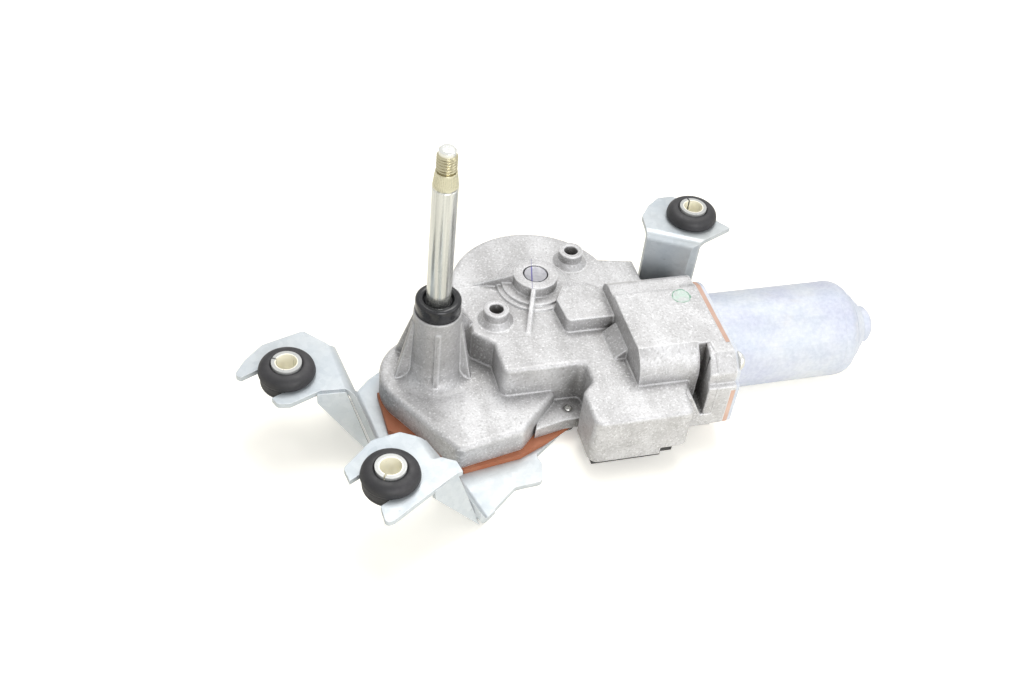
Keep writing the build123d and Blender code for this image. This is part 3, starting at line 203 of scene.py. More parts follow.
class Recipe:
    # a material being built: most methods add nodes and return the socket that carries the result

    def __init__(self, name):
        self.material = bpy.data.materials.new(name)
        self.material.use_nodes = True
        self.tree = self.material.node_tree
        self.shader = self.tree.nodes["Principled BSDF"]
        self.place = self.tree.nodes.new("ShaderNodeTexCoord").outputs["Object"]

    def link(self, source, target):
        self.tree.links.new(source, target)

    def put(self, value, target):
        # a socket is linked, and a plain value is set
        if hasattr(value, "is_linked"):
            self.link(value, target)
        else:
            target.default_value = value

    def math(self, operation, first, second=0.0):
        node = self.tree.nodes.new("ShaderNodeMath")
        node.operation = operation
        self.put(first, node.inputs[0])
        self.put(second, node.inputs[1])
        return node.outputs[0]

    def product(self, first, *others):
        for other in others:
            first = self.math("MULTIPLY", first, other)
        return first

    def vector(self, operation, first, *second):
        # the node itself, since its result is a vector for some operations and a value for others
        node = self.tree.nodes.new("ShaderNodeVectorMath")
        node.operation = operation
        self.link(first, node.inputs[0])
        for value in second:
            self.put(value, node.inputs[1])
        return node

    def noise(self, perMetre, detail, stretch=(1, 1, 1)):
        shift = self.tree.nodes.new("ShaderNodeMapping")
        shift.inputs["Scale"].default_value = stretch
        self.link(self.place, shift.inputs["Vector"])
        node = self.tree.nodes.new("ShaderNodeTexNoise")
        node.inputs["Scale"].default_value = perMetre
        node.inputs["Detail"].default_value = detail
        node.inputs["Roughness"].default_value = 0.55
        self.link(shift.outputs[0], node.inputs["Vector"])
        return node.outputs["Fac"]

    def cells(self, perMetre):
        node = self.tree.nodes.new("ShaderNodeTexVoronoi")
        node.inputs["Scale"].default_value = perMetre
        self.link(self.place, node.inputs["Vector"])
        return node.outputs["Distance"], node.outputs["Color"]

    def ramp(self, value, low, high, least=0.0, most=1.0):
        # values from low to high are drawn out to run from least to most, and stop there
        node = self.tree.nodes.new("ShaderNodeMapRange")
        self.link(value, node.inputs["Value"])
        node.inputs["From Min"].default_value = low
        node.inputs["From Max"].default_value = high
        node.inputs["To Min"].default_value = least
        node.inputs["To Max"].default_value = most
        return node.outputs[0]

    def cloud(self, perMetre, detail, low, high, least=0.0, most=1.0, stretch=(1, 1, 1)):
        return self.ramp(self.noise(perMetre, detail, stretch), low, high, least, most)

    def mix(self, amount, first, second):
        node = self.tree.nodes.new("ShaderNodeMix")
        node.data_type = "RGBA"
        self.link(amount, node.inputs["Factor"])
        for value, socket in ((first, node.inputs[6]), (second, node.inputs[7])):
            self.put(value if hasattr(value, "is_linked") else tuple(value) + (1.0,), socket)
        return node.outputs[2]

    def layers(self, colour, *rows):
        # each row is a cloud's numbers and the colour that the cloud lays over what is there
        for numbers, over in rows:
            colour = self.mix(self.cloud(*numbers), colour, over)
        return colour

    def axes(self):
        node = self.tree.nodes.new("ShaderNodeSeparateXYZ")
        self.link(self.place, node.inputs[0])
        return node.outputs

    def above(self, level):
        return self.math("GREATER_THAN", self.axes()[2], level)

    def reach(self, centre, flat=True):
        # distance of a point from a centre in metres, seen from above if flat
        away = self.vector("SUBTRACT", self.place, centre).outputs[0]
        if flat:
            away = self.vector("MULTIPLY", away, (1, 1, 0)).outputs[0]
        return self.vector("LENGTH", away).outputs["Value"]

    def stroke(self, start, end, halfWidth, core=0.4):
        # 1 near the straight line between two points, seen from above: full as far as the core, which is a
        # share of the half width, and gone at the half width
        start, end = np.array(start), np.array(end)
        length = float(np.linalg.norm(end - start))
        alongX, alongY = float((end[0] - start[0]) / length), float((end[1] - start[1]) / length)
        x, y = self.axes()[0], self.axes()[1]
        past = float(alongY * start[0] - alongX * start[1])
        across = self.math("SUBTRACT", self.product(y, alongX), self.product(x, alongY))
        side = self.math("ABSOLUTE", self.math("ADD", across, past))
        run = self.math("ADD", self.product(x, alongX), self.product(y, alongY))
        first = float(alongX * start[0] + alongY * start[1])
        afterStart = self.math("GREATER_THAN", run, first)
        beforeEnd = self.math("LESS_THAN", run, first + length)
        return self.product(afterStart, beforeEnd, self.ramp(side, halfWidth, halfWidth * core))

    def softEdges(self, radius, samples=6):
        node = self.tree.nodes.new("ShaderNodeBevel")
        node.samples = samples
        node.inputs["Radius"].default_value = radius
        return node.outputs[0]

    def edgeMask(self, radius, most=1.0):
        # most on sharp edges and corners, 0 on flat faces, from how far the softened normal leans
        flat, sharp = 0.995, 0.86  # cosines of the lean
        geometry = self.tree.nodes.new("ShaderNodeNewGeometry")
        lean = self.vector("DOT_PRODUCT", self.softEdges(radius, 4), geometry.outputs["Normal"])
        return self.ramp(lean.outputs["Value"], flat, sharp, 0.0, most)

    def paintedShade(self, distance, closed, openSky, most):
        # painted shade from how much of the sky near a point is hidden: most where only the closed share of
        # it is left, 0 where the open share of it is
        node = self.tree.nodes.new("ShaderNodeAmbientOcclusion")
        node.samples = 6
        node.inputs["Distance"].default_value = distance
        return self.ramp(node.outputs["AO"], openSky, closed, 0.0, most)

    def finish(self, colour, look, roughness=(), **changed):
        # softened edges, over them a relief of noise, its lowest layer first, and the surface; the least and
        # the most roughness are given here where the look leaves them out
        look = {**look, **changed}
        normal = self.softEdges(look["edgeRadius"])
        for perMetre, detail, depth, *stretch in look["relief"]:
            node = self.tree.nodes.new("ShaderNodeBump")
            node.inputs["Strength"].default_value = 1.0
            node.inputs["Distance"].default_value = depth
            self.link(self.noise(perMetre, detail, *stretch), node.inputs["Height"])
            self.link(normal, node.inputs["Normal"])
            normal = node.outputs[0]
        self.link(normal, self.shader.inputs["Normal"])
        self.link(colour, self.shader.inputs["Base Color"])
        self.link(self.cloud(*look["roughness"], *roughness), self.shader.inputs["Roughness"])
        self.shader.inputs["Metallic"].default_value = look["metallic"]
        return self.material


# In the finishes, a cloud is noise: how many to the metre, its detail, the low and high values that are drawn
# out, what they become, and the stretch along X, Y and Z. A hollow's painted shade is its reach, the shares
# of open sky at which it is full and gone, and how much it shades. A relief's layer is noise with its depth
# in metres. Painted highlights on edges are their radius and how much they show. A pair of places is where a
# mark begins and where it is full.

scribeLine = ((51.5 * mm, 41.6 * mm), (46.4 * mm, 20.2 * mm))  # across the wheel's boss, seen from above

castFinish = {
    "pale": (0.640, 0.642, 0.652),
    "mid": (0.500, 0.498, 0.504),
    "dark": (0.190, 0.184, 0.180),
    "grain": (0.880, 0.885, 0.900),
    "edge": (0.930, 0.935, 0.945),
    "blotch": (38, 5, 0.35, 0.68),
    "flow": (110, 4, 0.40, 0.66, 0.0, 0.30, (1, 0.4, 1)),
    "hollow": (15.0 * mm, 0.22, 0.80, 0.95),
    "brightGrain": (1150, 2, 0.54, 0.70, 0.0, 0.50),
    "darkGrain": (900, 2, 0.52, 0.70, 0.0, 0.38, (1.1, 1.0, 0.9)),
    "wear": (260, 3, 0.30, 0.62, 0.60, 1.0),
    "wearRadius": 1.3 * mm,
    "skin": 0.3 * mm,  # how far under a face a mark on it still counts
    "bossTop": 38.4 * mm,
    "ink": (0.12, 0.12, 0.26),
    "inkHalf": 0.22 * mm,
    "inkShare": 0.7,
    "towerReach": (17.0 * mm, 14.0 * mm),  # where the painted shade on the tower begins, and where it is full
    "towerFoot": (24.0 * mm, 29.0 * mm),
    "towerShade": 0.30,
    "lugScrew": (52.7 * mm, -25.2 * mm, 10.4 * mm),
    "lugJoint": (3.1 * mm, 2.5 * mm, 0.0, 0.75),
    "paint": (0.44, 0.62, 0.52),
    "paintRim": (0.05, 0.24, 0.13),
    "paintSpot": (105.6 * mm, -1.5 * mm, 45.6 * mm),
    "paintSize": 4.3 * mm,
    "paintFull": 0.93,  # shares of its size
    "rimStart": 0.80,
    "rimFull": 0.92,
    "paintWobble": (260, 2, 0.3, 0.7, -0.45 * mm, 0.45 * mm),
    "paintWash": (420, 3, 0.35, 0.65, 0.10, 0.60),
    "rimPatches": (500, 2, 0.32, 0.58, 0.35, 0.95),
    "roughness": (160, 4, 0.3, 0.7, 0.38, 0.55),
    "metallic": 0.35,
    "relief": [(1150, 3, 0.13 * mm), (3200, 2, 0.05 * mm), (60, 2, 0.5 * mm)],
    "edgeRadius": 1.7 * mm,
}


def castAluminium(name, look):
    # cloudy metal with a sandy grain, painted highlights along rounded edges and painted shade in the hollows
    recipe = Recipe(name)
    colour = recipe.mix(recipe.cloud(*look["blotch"]), look["mid"], look["pale"])
    colour = recipe.mix(recipe.cloud(*look["flow"]), colour, look["dark"])
    # painted shade: darker where the sky is hidden, in the hollows
    colour = recipe.mix(recipe.paintedShade(*look["hollow"]), colour, look["dark"])
    colour = recipe.layers(colour, (look["brightGrain"], look["grain"]), (look["darkGrain"], look["dark"]))
    # painted highlight along the rounded edges, broken into patches by a cloud
    worn = recipe.product(recipe.edgeMask(look["wearRadius"]), recipe.cloud(*look["wear"]))
    colour = recipe.mix(worn, colour, look["edge"])
    # the line scribed across the wheel's boss, as far as the boss reaches
    scribe = recipe.stroke(*scribeLine, look["inkHalf"])
    onBoss = recipe.above(look["bossTop"] - look["skin"])
    colour = recipe.mix(recipe.product(scribe, onBoss, look["inkShare"]), colour, look["ink"])
    # painted shade on the tower's walls, and the dark joint round the screw that shows in the lug
    besideTower = recipe.ramp(recipe.reach((0, 0, 0)), *look["towerReach"])
    towerShadeMask = recipe.product(besideTower, recipe.ramp(recipe.axes()[2], *look["towerFoot"]))
    colour = recipe.mix(recipe.product(towerShadeMask, look["towerShade"]), colour, look["dark"])
    joint = recipe.ramp(recipe.reach(look["lugScrew"], False), *look["lugJoint"])
    colour = recipe.mix(joint, colour, look["dark"])
    # a dab of inspection paint: a thin pale green wash inside a darker ring
    size = look["paintSize"]
    away = recipe.math("ADD", recipe.reach(look["paintSpot"]), recipe.cloud(*look["paintWobble"]))
    onTop = recipe.above(look["paintSpot"][2] - look["skin"])
    disc = recipe.product(onTop, recipe.ramp(away, size, size * look["paintFull"]))
    rim = recipe.product(disc, recipe.ramp(away, size * look["rimStart"], size * look["rimFull"]))
    wash = recipe.product(disc, recipe.cloud(*look["paintWash"]))
    colour = recipe.mix(wash, colour, look["paint"])
    colour = recipe.mix(recipe.product(rim, recipe.cloud(*look["rimPatches"])), colour, look["paintRim"])
    return recipe.finish(colour, look)


zincFinish = {
    "pale": (0.545, 0.580, 0.600),
    "cool": (0.430, 0.485, 0.530),
    "warm": (0.525, 0.525, 0.475),
    "dark": (0.30, 0.32, 0.33),
    "black": (0.03, 0.03, 0.035),
    "edge": (0.84, 0.87, 0.89),
    "coolCloud": (30, 4, 0.36, 0.66),
    "warmCloud": (14, 3, 0.52, 0.78, 0.0, 0.5),
    "flakes": 420,  # to the metre
    "flakeShare": 0.20,
    "mottle": (900, 2, 0.55, 0.75, 0.0, 0.30),
    "hollow": (7.0 * mm, 0.15, 0.80, 0.6),
    "pits": 260,  # places for one, to the metre
    "pitless": 0.90,  # share of the places that stay free
    "pitReach": (0.16, 0.08, 0.0, 0.40),
    "nick": (-8.2 * mm, -26.0 * mm, 2.3 * mm),
    "nickReach": (1.7 * mm, 1.1 * mm),
    "worn": (0.5 * mm, 0.55),
    "roughness": (240, 4, 0.3, 0.7, 0.30, 0.46),
    "metallic": 0.30,
    "relief": [(1300, 2, 0.03 * mm), (42, 2, 0.18 * mm)],
    "edgeRadius": 0.35 * mm,
}


def zincPlate(name, look):
    # plating with soft clouds and the faint crystal flakes of zinc, painted shade in the hollows and painted
    # highlights along the edges
    recipe = Recipe(name)
    colour = recipe.mix(recipe.cloud(*look["coolCloud"]), look["pale"], look["cool"])
    colour = recipe.layers(colour, (look["warmCloud"], look["warm"]))
    tone = recipe.tree.nodes.new("ShaderNodeRGBToBW")
    recipe.link(recipe.cells(look["flakes"])[1], tone.inputs[0])
    colour = recipe.mix(recipe.product(tone.outputs[0], look["flakeShare"]), colour, look["edge"])
    colour = recipe.layers(colour, (look["mottle"], look["cool"]))
    # painted shade in the hollows
    colour = recipe.mix(recipe.paintedShade(*look["hollow"]), colour, look["dark"])
    # scattered pits, and a black spot of painted shade in the dark gap by the small clip at the front arm
    spot, chance = recipe.cells(look["pits"])
    parts = recipe.tree.nodes.new("ShaderNodeSeparateColor")
    recipe.link(chance, parts.inputs[0])
    rare = recipe.math("GREATER_THAN", parts.outputs[0], look["pitless"])
    colour = recipe.mix(recipe.product(rare, recipe.ramp(spot, *look["pitReach"])), colour, look["dark"])
    nick = recipe.ramp(recipe.reach(look["nick"], False), *look["nickReach"])
    colour = recipe.mix(nick, colour, look["black"])
    # painted highlight along the edges
    colour = recipe.mix(recipe.edgeMask(*look["worn"]), colour, look["edge"])
    return recipe.finish(colour, look)


canFinish = {
    "pale": (0.590, 0.620, 0.665),
    "lilac": (0.490, 0.515, 0.625),
    "blue": (0.460, 0.515, 0.605),
    "warm": (0.590, 0.575, 0.575),
    "edge": (0.860, 0.885, 0.930),
    "crease": (0.29, 0.33, 0.42),
    "cloud": (48, 5, 0.40, 0.62),
    "stain": (130, 5, 0.44, 0.64, 0.0, 0.5, (0.6, 1, 1)),
    "warmth": (62, 3, 0.56, 0.74, 0.0, 0.6, (1, 1.4, 1)),
    "mottle": (620, 3, 0.36, 0.64, 0.0, 0.22),
    "drawLines": (1500, 2, 0.40, 0.65, 0.0, 0.14, (0.02, 1, 1)),
    "worn": (0.6 * mm, 0.5),
    "rings": (184.6 * mm, 188.7 * mm, 191.9 * mm),  # along X, where the drawn steps of the end turn in and painted shade lines the creases
    "ringShade": (0.50 * mm, 0.0, 0.0, 0.75),
    "roughness": (90, 4, 0.3, 0.7, 0.50, 0.64),
    "metallic": 0.22,
    "relief": [(700, 2, 0.06 * mm), (55, 2, 0.3 * mm)],
    "edgeRadius": 0.5 * mm,
}


def canPlate(name, look):
    # deep-drawn and plated: big soft clouds, smaller stains and a fine mottle, with faint lines along the
    # can, painted highlights on its edges and painted shade along the creases of its end
    recipe = Recipe(name)
    colour = recipe.layers(
        look["pale"],
        (look["cloud"], look["lilac"]),
        (look["stain"], look["blue"]),
        (look["warmth"], look["warm"]),
        (look["mottle"], look["edge"]),
        (look["drawLines"], look["blue"]),
    )
    # painted highlight along the edges
    colour = recipe.mix(recipe.edgeMask(*look["worn"]), colour, look["edge"])
    # painted shade along the creases where the end's steps turn in
    for place in look["rings"]:
        offset = recipe.math("ABSOLUTE", recipe.math("SUBTRACT", recipe.axes()[0], place))
        colour = recipe.mix(recipe.ramp(offset, *look["ringShade"]), colour, look["crease"])
    return recipe.finish(colour, look)


spindleFinish = {
    "steel": (0.74, 0.75, 0.72),
    "dull": (0.38, 0.39, 0.37),
    "cone": (0.60, 0.58, 0.44),
    "thread": (0.54, 0.50, 0.34),
    "valley": (0.20, 0.17, 0.09),
    # the colour of the painted shade in the thread's valleys
    "tip": (0.78, 0.79, 0.76),
    "streak": (700, 3, 0.35, 0.65, 0.0, 0.55, (1, 1, 0.02)),
    "coneFrom": (113.3 * mm, 114.1 * mm),
    "coneWobble": (500, 3, 0.3, 0.7, -0.4 * mm, 0.4 * mm),
    "threadFrom": (120.2 * mm, 120.8 * mm),
    "valleys": (1.0 * mm, 0.25, 0.85, 0.9),
    "tipFrom": (127.9 * mm, 128.7 * mm),
    "roughness": (900, 3, 0.3, 0.7, 0.16, 0.30, (1, 1, 0.05)),
    "metallic": 0.9,
    "relief": [(2600, 2, 0.012 * mm, (1, 1, 0.05))],
    "edgeRadius": 0.2 * mm,
}


def spindleSteel(name, look):
    # bright steel with streaks along it, a yellowish cone and thread with painted shade in its valleys, and a
    # pale tip
    recipe = Recipe(name)
    height = recipe.axes()[2]
    colour = recipe.layers(look["steel"], (look["streak"], look["dull"]))
    uneven = recipe.math("ADD", height, recipe.cloud(*look["coneWobble"]))
    colour = recipe.mix(recipe.ramp(uneven, *look["coneFrom"]), colour, look["cone"])
    onThread = recipe.ramp(height, *look["threadFrom"])
    colour = recipe.mix(onThread, colour, look["thread"])
    # painted shade in the thread's valleys, from how much sky is hidden
    valley = recipe.product(onThread, recipe.paintedShade(*look["valleys"]))
    colour = recipe.mix(valley, colour, look["valley"])
    colour = recipe.mix(recipe.ramp(height, *look["tipFrom"]), colour, look["tip"])
    return recipe.finish(colour, look)


steelFinish = {
    "cloud": (120, 4, 0.35, 0.68, 0.0, 0.6),
    "edge": (0.85, 0.85, 0.84),
    "worn": (0.3 * mm, 0.4),
    "roughness": (500, 3, 0.3, 0.7),
    "metallic": 0.9,
    "relief": [(1800, 3, 0.02 * mm)],
    "edgeRadius": 0.25 * mm,
}


def plainSteel(name, base, second, roughness, **changed):
    # any plain metal: a second tone in clouds, and painted highlights along its edges
    recipe = Recipe(name)
    colour = recipe.layers(base, (steelFinish["cloud"], second))
    # painted highlight along the edges
    colour = recipe.mix(recipe.edgeMask(*steelFinish["worn"]), colour, steelFinish["edge"])
    return recipe.finish(colour, steelFinish, roughness, **changed)


rubberFinish = {
    "dust": (85, 4, 0.42, 0.72, 0.0),  # how much of it is given with each rubber
    "fineDust": (2200, 2, 0.5, 0.7, 0.0, 0.10),
    "roughness": (300, 3, 0.3, 0.7),
    "metallic": 0.0,
    "relief": [(1400, 3, 0.06 * mm)],
    "edgeRadius": 0.4 * mm,
}


def rubber(name, base, dusty, dust, roughness, **changed):
    # dark or coloured rubber with patches and specks of a dusty tone
    recipe = Recipe(name)
    colour = recipe.layers(base, (rubberFinish["dust"] + (dust,), dusty), (rubberFinish["fineDust"], dusty))
    return recipe.finish(colour, rubberFinish, roughness, **changed)


mouldedFinish = {
    "cloud": (150, 4, 0.35, 0.7, 0.0, 0.7),
    "roughness": (500, 2, 0.3, 0.7),
    "metallic": 0.0,
    "relief": [(2400, 2, 0.03 * mm)],
    "edgeRadius": 0.25 * mm,
}


def moulded(name, base, second, roughness):
    # a moulding or laminate with a second tone in clouds
    recipe = Recipe(name)
    colour = recipe.layers(base, (mouldedFinish["cloud"], second))
    return recipe.finish(colour, mouldedFinish, roughness)


sleeveFinish = {
    "rim": (0.46, 0.47, 0.46),
    "bore": (0.95, 0.92, 0.78),
    "pale": (0.97, 0.96, 0.88),
    "cloud": (180, 3, 0.35, 0.7, 0.0, 0.6),
    "boreReach": (4.7 * mm, 4.4 * mm),
    "roughness": (600, 3, 0.3, 0.7, 0.26, 0.42, (1, 1, 0.1)),
    "metallic": 0.25,
    "relief": [(1500, 2, 0.02 * mm, (1, 1, 0.1))],
    "edgeRadius": 0.3 * mm,
}


def rolledSteel(name, centre, look):
    # a grey rim round a bright, slightly yellow bore
    recipe = Recipe(name)
    inside = recipe.ramp(recipe.reach(centre), *look["boreReach"])
    tint = recipe.layers(look["bore"], (look["cloud"], look["pale"]))
    return recipe.finish(recipe.mix(inside, look["rim"], tint), look)


axleFinish = {
    "steel": (0.42, 0.42, 0.44),
    "dull": (0.31, 0.31, 0.34),
    "ink": (0.10, 0.09, 0.26),
    "inkHalf": 0.42 * mm,
    "joint": (0.05, 0.05, 0.055),
    "jointFrom": (5.0 * mm, 5.3 * mm),
    "cloud": (500, 3, 0.35, 0.65),
    "ringPhase": 9000.0,  # radians to the metre of the turned rings
    "ringShare": 0.3,
    "roughness": (500, 3, 0.35, 0.65, 0.35, 0.5),
    "metallic": 0.5,
    "relief": [(1800, 3, 0.02 * mm)],
    "edgeRadius": 0.2 * mm,
}


def axleSteel(name, look):
    # turned face with faint rings, a dark joint at its rim and a scribed line across it
    recipe = Recipe(name)
    low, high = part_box("wheel_axle")
    away = recipe.reach(tuple((low + high) / 2))
    wave = recipe.math("SINE", recipe.product(away, look["ringPhase"]))
    colour = recipe.layers(look["steel"], (look["cloud"], look["dull"]))
    colour = recipe.mix(recipe.ramp(wave, -1.0, 1.0, 0.0, look["ringShare"]), colour, look["dull"])
    colour = recipe.mix(recipe.stroke(*scribeLine, look["inkHalf"]), colour, look["ink"])
    colour = recipe.mix(recipe.ramp(away, *look["jointFrom"]), colour, look["joint"])
    return recipe.finish(colour, look)


gearNodes = [
    "output_pinion", "sector_gear", "holder_link", "sector_pin", "crank_pin", "thrust_washer", "shaft_clip",
    "wheel_clip", "armature_shaft",
]
bushNodes = ["shaft_bush_upper", "shaft_bush_lower", "worm_bush", "centre_bush", "can_bush"]
grommetNodes = ["grommet_left", "grommet_front", "grommet_rear"]

materials = {}


def dress(nodes, recipe, name, *needs, **changed):
    # makes a material and puts it on its nodes, in place of what they had
    materials[name] = recipe(name, *needs, **changed)
    for node in nodes:
        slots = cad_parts[node].data.materials
        slots.clear()
        slots.append(materials[name])


dress(["gear_housing"], castAluminium, "castAluminium", castFinish)
dress(["mounting_bracket"], zincPlate, "zincPlate", zincFinish)
dress(["motor_can"], canPlate, "canPlate", canFinish)
dress(["output_shaft"], spindleSteel, "spindleSteel", spindleFinish)
dress(["wheel_axle"], axleSteel, "axleSteel", axleFinish)
dress(
    ["can_screws", "cover_screws"],
    plainSteel, "screwSteel", (0.74, 0.74, 0.71), (0.62, 0.61, 0.55), (0.22, 0.36),
)
dress(gearNodes, plainSteel, "gearSteel", (0.42, 0.42, 0.43), (0.28, 0.27, 0.27), (0.22, 0.40))
dress(["armature_core"], plainSteel, "coreSteel", (0.25, 0.25, 0.27), (0.16, 0.15, 0.15), (0.35, 0.5))
dress(bushNodes, plainSteel, "bearingBronze", (0.55, 0.38, 0.20), (0.40, 0.27, 0.15), (0.3, 0.5))
dress(
    ["armature_winding", "commutator"],
    plainSteel, "windingCopper", (0.72, 0.33, 0.16), (0.48, 0.18, 0.08), (0.2, 0.35),
)
dress(["connector_pins"], plainSteel, "pinBrass", (0.80, 0.70, 0.45), (0.62, 0.50, 0.28), (0.2, 0.35))
dress(
    ["magnet_front", "magnet_rear"],
    plainSteel, "ferrite", (0.12, 0.12, 0.13), (0.07, 0.07, 0.075), (0.5, 0.7), metallic=0.2,
)
dress(
    grommetNodes,
    rubber, "blackRubber", (0.016, 0.016, 0.018), (0.058, 0.054, 0.060), 0.40, (0.46, 0.64),
)
dress(
    ["seal_cap"],
    rubber, "capRubber", (0.010, 0.010, 0.012), (0.03, 0.032, 0.035), 0.3, (0.16, 0.30),
    relief=[(1400, 3, 0.02 * mm)],
)
dress(
    ["housing_gasket"],
    rubber, "sealRubber", (0.36, 0.115, 0.050), (0.42, 0.18, 0.10), 0.6, (0.5, 0.7),
)
dress(["motor_gasket"], rubber, "mouthRubber", (0.56, 0.36, 0.28), (0.66, 0.50, 0.42), 0.7, (0.5, 0.7))
dress(["worm_wheel"], moulded, "wheelPlastic", (0.80, 0.77, 0.68), (0.70, 0.66, 0.55), (0.35, 0.5))
dress(
    ["connector_housing", "brush_holder"],
    moulded, "blackPlastic", (0.022, 0.022, 0.024), (0.05, 0.05, 0.052), (0.4, 0.55),
)
dress(["brushes"], moulded, "brushCarbon", (0.05, 0.05, 0.052), (0.09, 0.09, 0.09), (0.5, 0.7))
dress(["circuit_board"], moulded, "boardLaminate", (0.05, 0.20, 0.09), (0.08, 0.27, 0.12), (0.3, 0.45))

sides = ("left", "front", "rear")
for side in sides:
    low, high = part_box("sleeve_" + side)
    centre = tuple((low + high) / 2)
    dress(["sleeve_" + side], rolledSteel, "rolledSteel_" + side, centre, sleeveFinish)
print("materials set")

# From here on, shapes are in mm. A closed end is a fan from a last ring of this radius.
poleRing = 0.05
lastShare = 0.02  # the same for a domed face, as a share of its radius
sharpFrom = 38  # degrees between faces, from which an edge stays sharp


def gridMesh(name, points, poles=False):
    # a mesh from rows of points that each go once round: quads between neighbouring rows, and then either
    # a fan to a pole at each end, or the last row joined to the first where the section is a closed loop
    rows, columns = points.shape[:2]
    index = np.arange(rows * columns).reshape(rows, columns)
    beside = np.roll(index, -1, axis=1)
    following, besideNext = np.roll(index, -1, axis=0), np.roll(beside, -1, axis=0)
    quads = np.stack([index, beside, besideNext, following], axis=-1)
    quads = (quads[:-1] if poles else quads).reshape(-1, 4)
    places = points.reshape(-1, 3)
    faces = quads.tolist()
    if poles:
        places = np.vstack([places, points[0].mean(axis=0), points[-1].mean(axis=0)])
        hub = np.full(columns, len(places) - 2)
        faces += np.stack([beside[0], index[0], hub], axis=-1).tolist()
        faces += np.stack([index[-1], beside[-1], hub + 1], axis=-1).tolist()
    mesh = bpy.data.meshes.new(name)
    mesh.from_pydata(places, [], faces)
    mesh.polygons.foreach_set("use_smooth", np.ones(len(mesh.polygons), bool))
    mesh.set_sharp_from_angle(angle=np.radians(sharpFrom))
    piece = bpy.data.objects.new(name, mesh)
    bpy.context.collection.objects.link(piece)
    return piece


def fineProfile(corners, step):
    # a profile through the corners, with points added so that none is further than the step from the next
    corners = np.array(corners, float)
    runs = np.linalg.norm(np.diff(corners, axis=0), axis=1)
    counts = np.maximum(1, np.ceil(runs / step)).astype(int)
    along = np.concatenate([k + np.arange(n) / n for k, n in enumerate(counts)] + [[len(counts)]])
    base = np.arange(len(corners))
    return np.stack([np.interp(along, base, corners[:, k]) for k in (0, 1)], axis=1)


def sweep(profile, columns):
    # the angles once round, and the profile's two columns, each repeated at every angle
    angle = np.linspace(0, 2 * np.pi, columns, endpoint=False)
    return angle, profile[:, :1] + 0 * angle, profile[:, 1:] + 0 * angle


def turned(name, profile, centre, columns=96, poles=True, shape=None):
    # radius and height of the profile, swept round an upright axis: (r cos a, r sin a, h)
    angle, radius, height = sweep(np.array(profile, float), columns)
    if shape is not None:
        radius, height = shape(radius, height, angle[None, :])
    points = np.stack([radius * np.cos(angle), radius * np.sin(angle), height], axis=-1)
    return gridMesh(name, (points + np.array(centre)) * mm, poles)


def lyingPoints(place, radius, angle, y, z):
    # place along X and radius, swept round a level axis at (y, z): (x, y + r cos a, z + r sin a)
    return np.stack([place, radius * np.cos(angle) + y, radius * np.sin(angle) + z], axis=-1) * mm


def screwPhase(height, angle, pitch):
    # how far a point is from one thread's crest to the next, 0 to 1: the fraction of h / pitch - a / turn
    return (height / pitch - angle / (2 * np.pi)) % 1.0


def setPiece(piece, body, material, slot, *replaced):
    piece.data.materials.append(materials[material])
    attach(piece, body)
    if replaced:
        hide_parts(*replaced)


# heights from the top of the arm
cushionLook = {
    "bulge": 11.25,  # largest radius
    "widest": 1.7,  # height of the largest radius, where the seam of the mould runs
    "neck": 8.6,
    "rise": 5.8,
    "drop": 3.4,
    "plate": 2.3,
    "play": 0.05,
    "sleeve": 6.0,
    "fit": 0.02,
    "shoulder": 0.9,  # from the sleeve to the start of the dome
    "boreTop": (0.9, 0.4, 0.25),  # depth of the bore's edge, then how far out and deep the corner above it is
    "fullness": 2.3,  # n of the dome and the lip
    "tuck": (1.1, 1.6),  # half axes of the round under the dome
    "lipInset": 0.6,  # the lip's ends from the shoulder and the bulge
    "lipRoof": 1.0,
    "lipThick": 0.9,
    "seam": (0.12, 0.16),  # height and half width
    "mouths": {"left": 205.0, "front": 209.0, "rear": 40.0},  # degrees, where each arm's slot is open
    "filled": 10.7,
    "rows": 22,
}


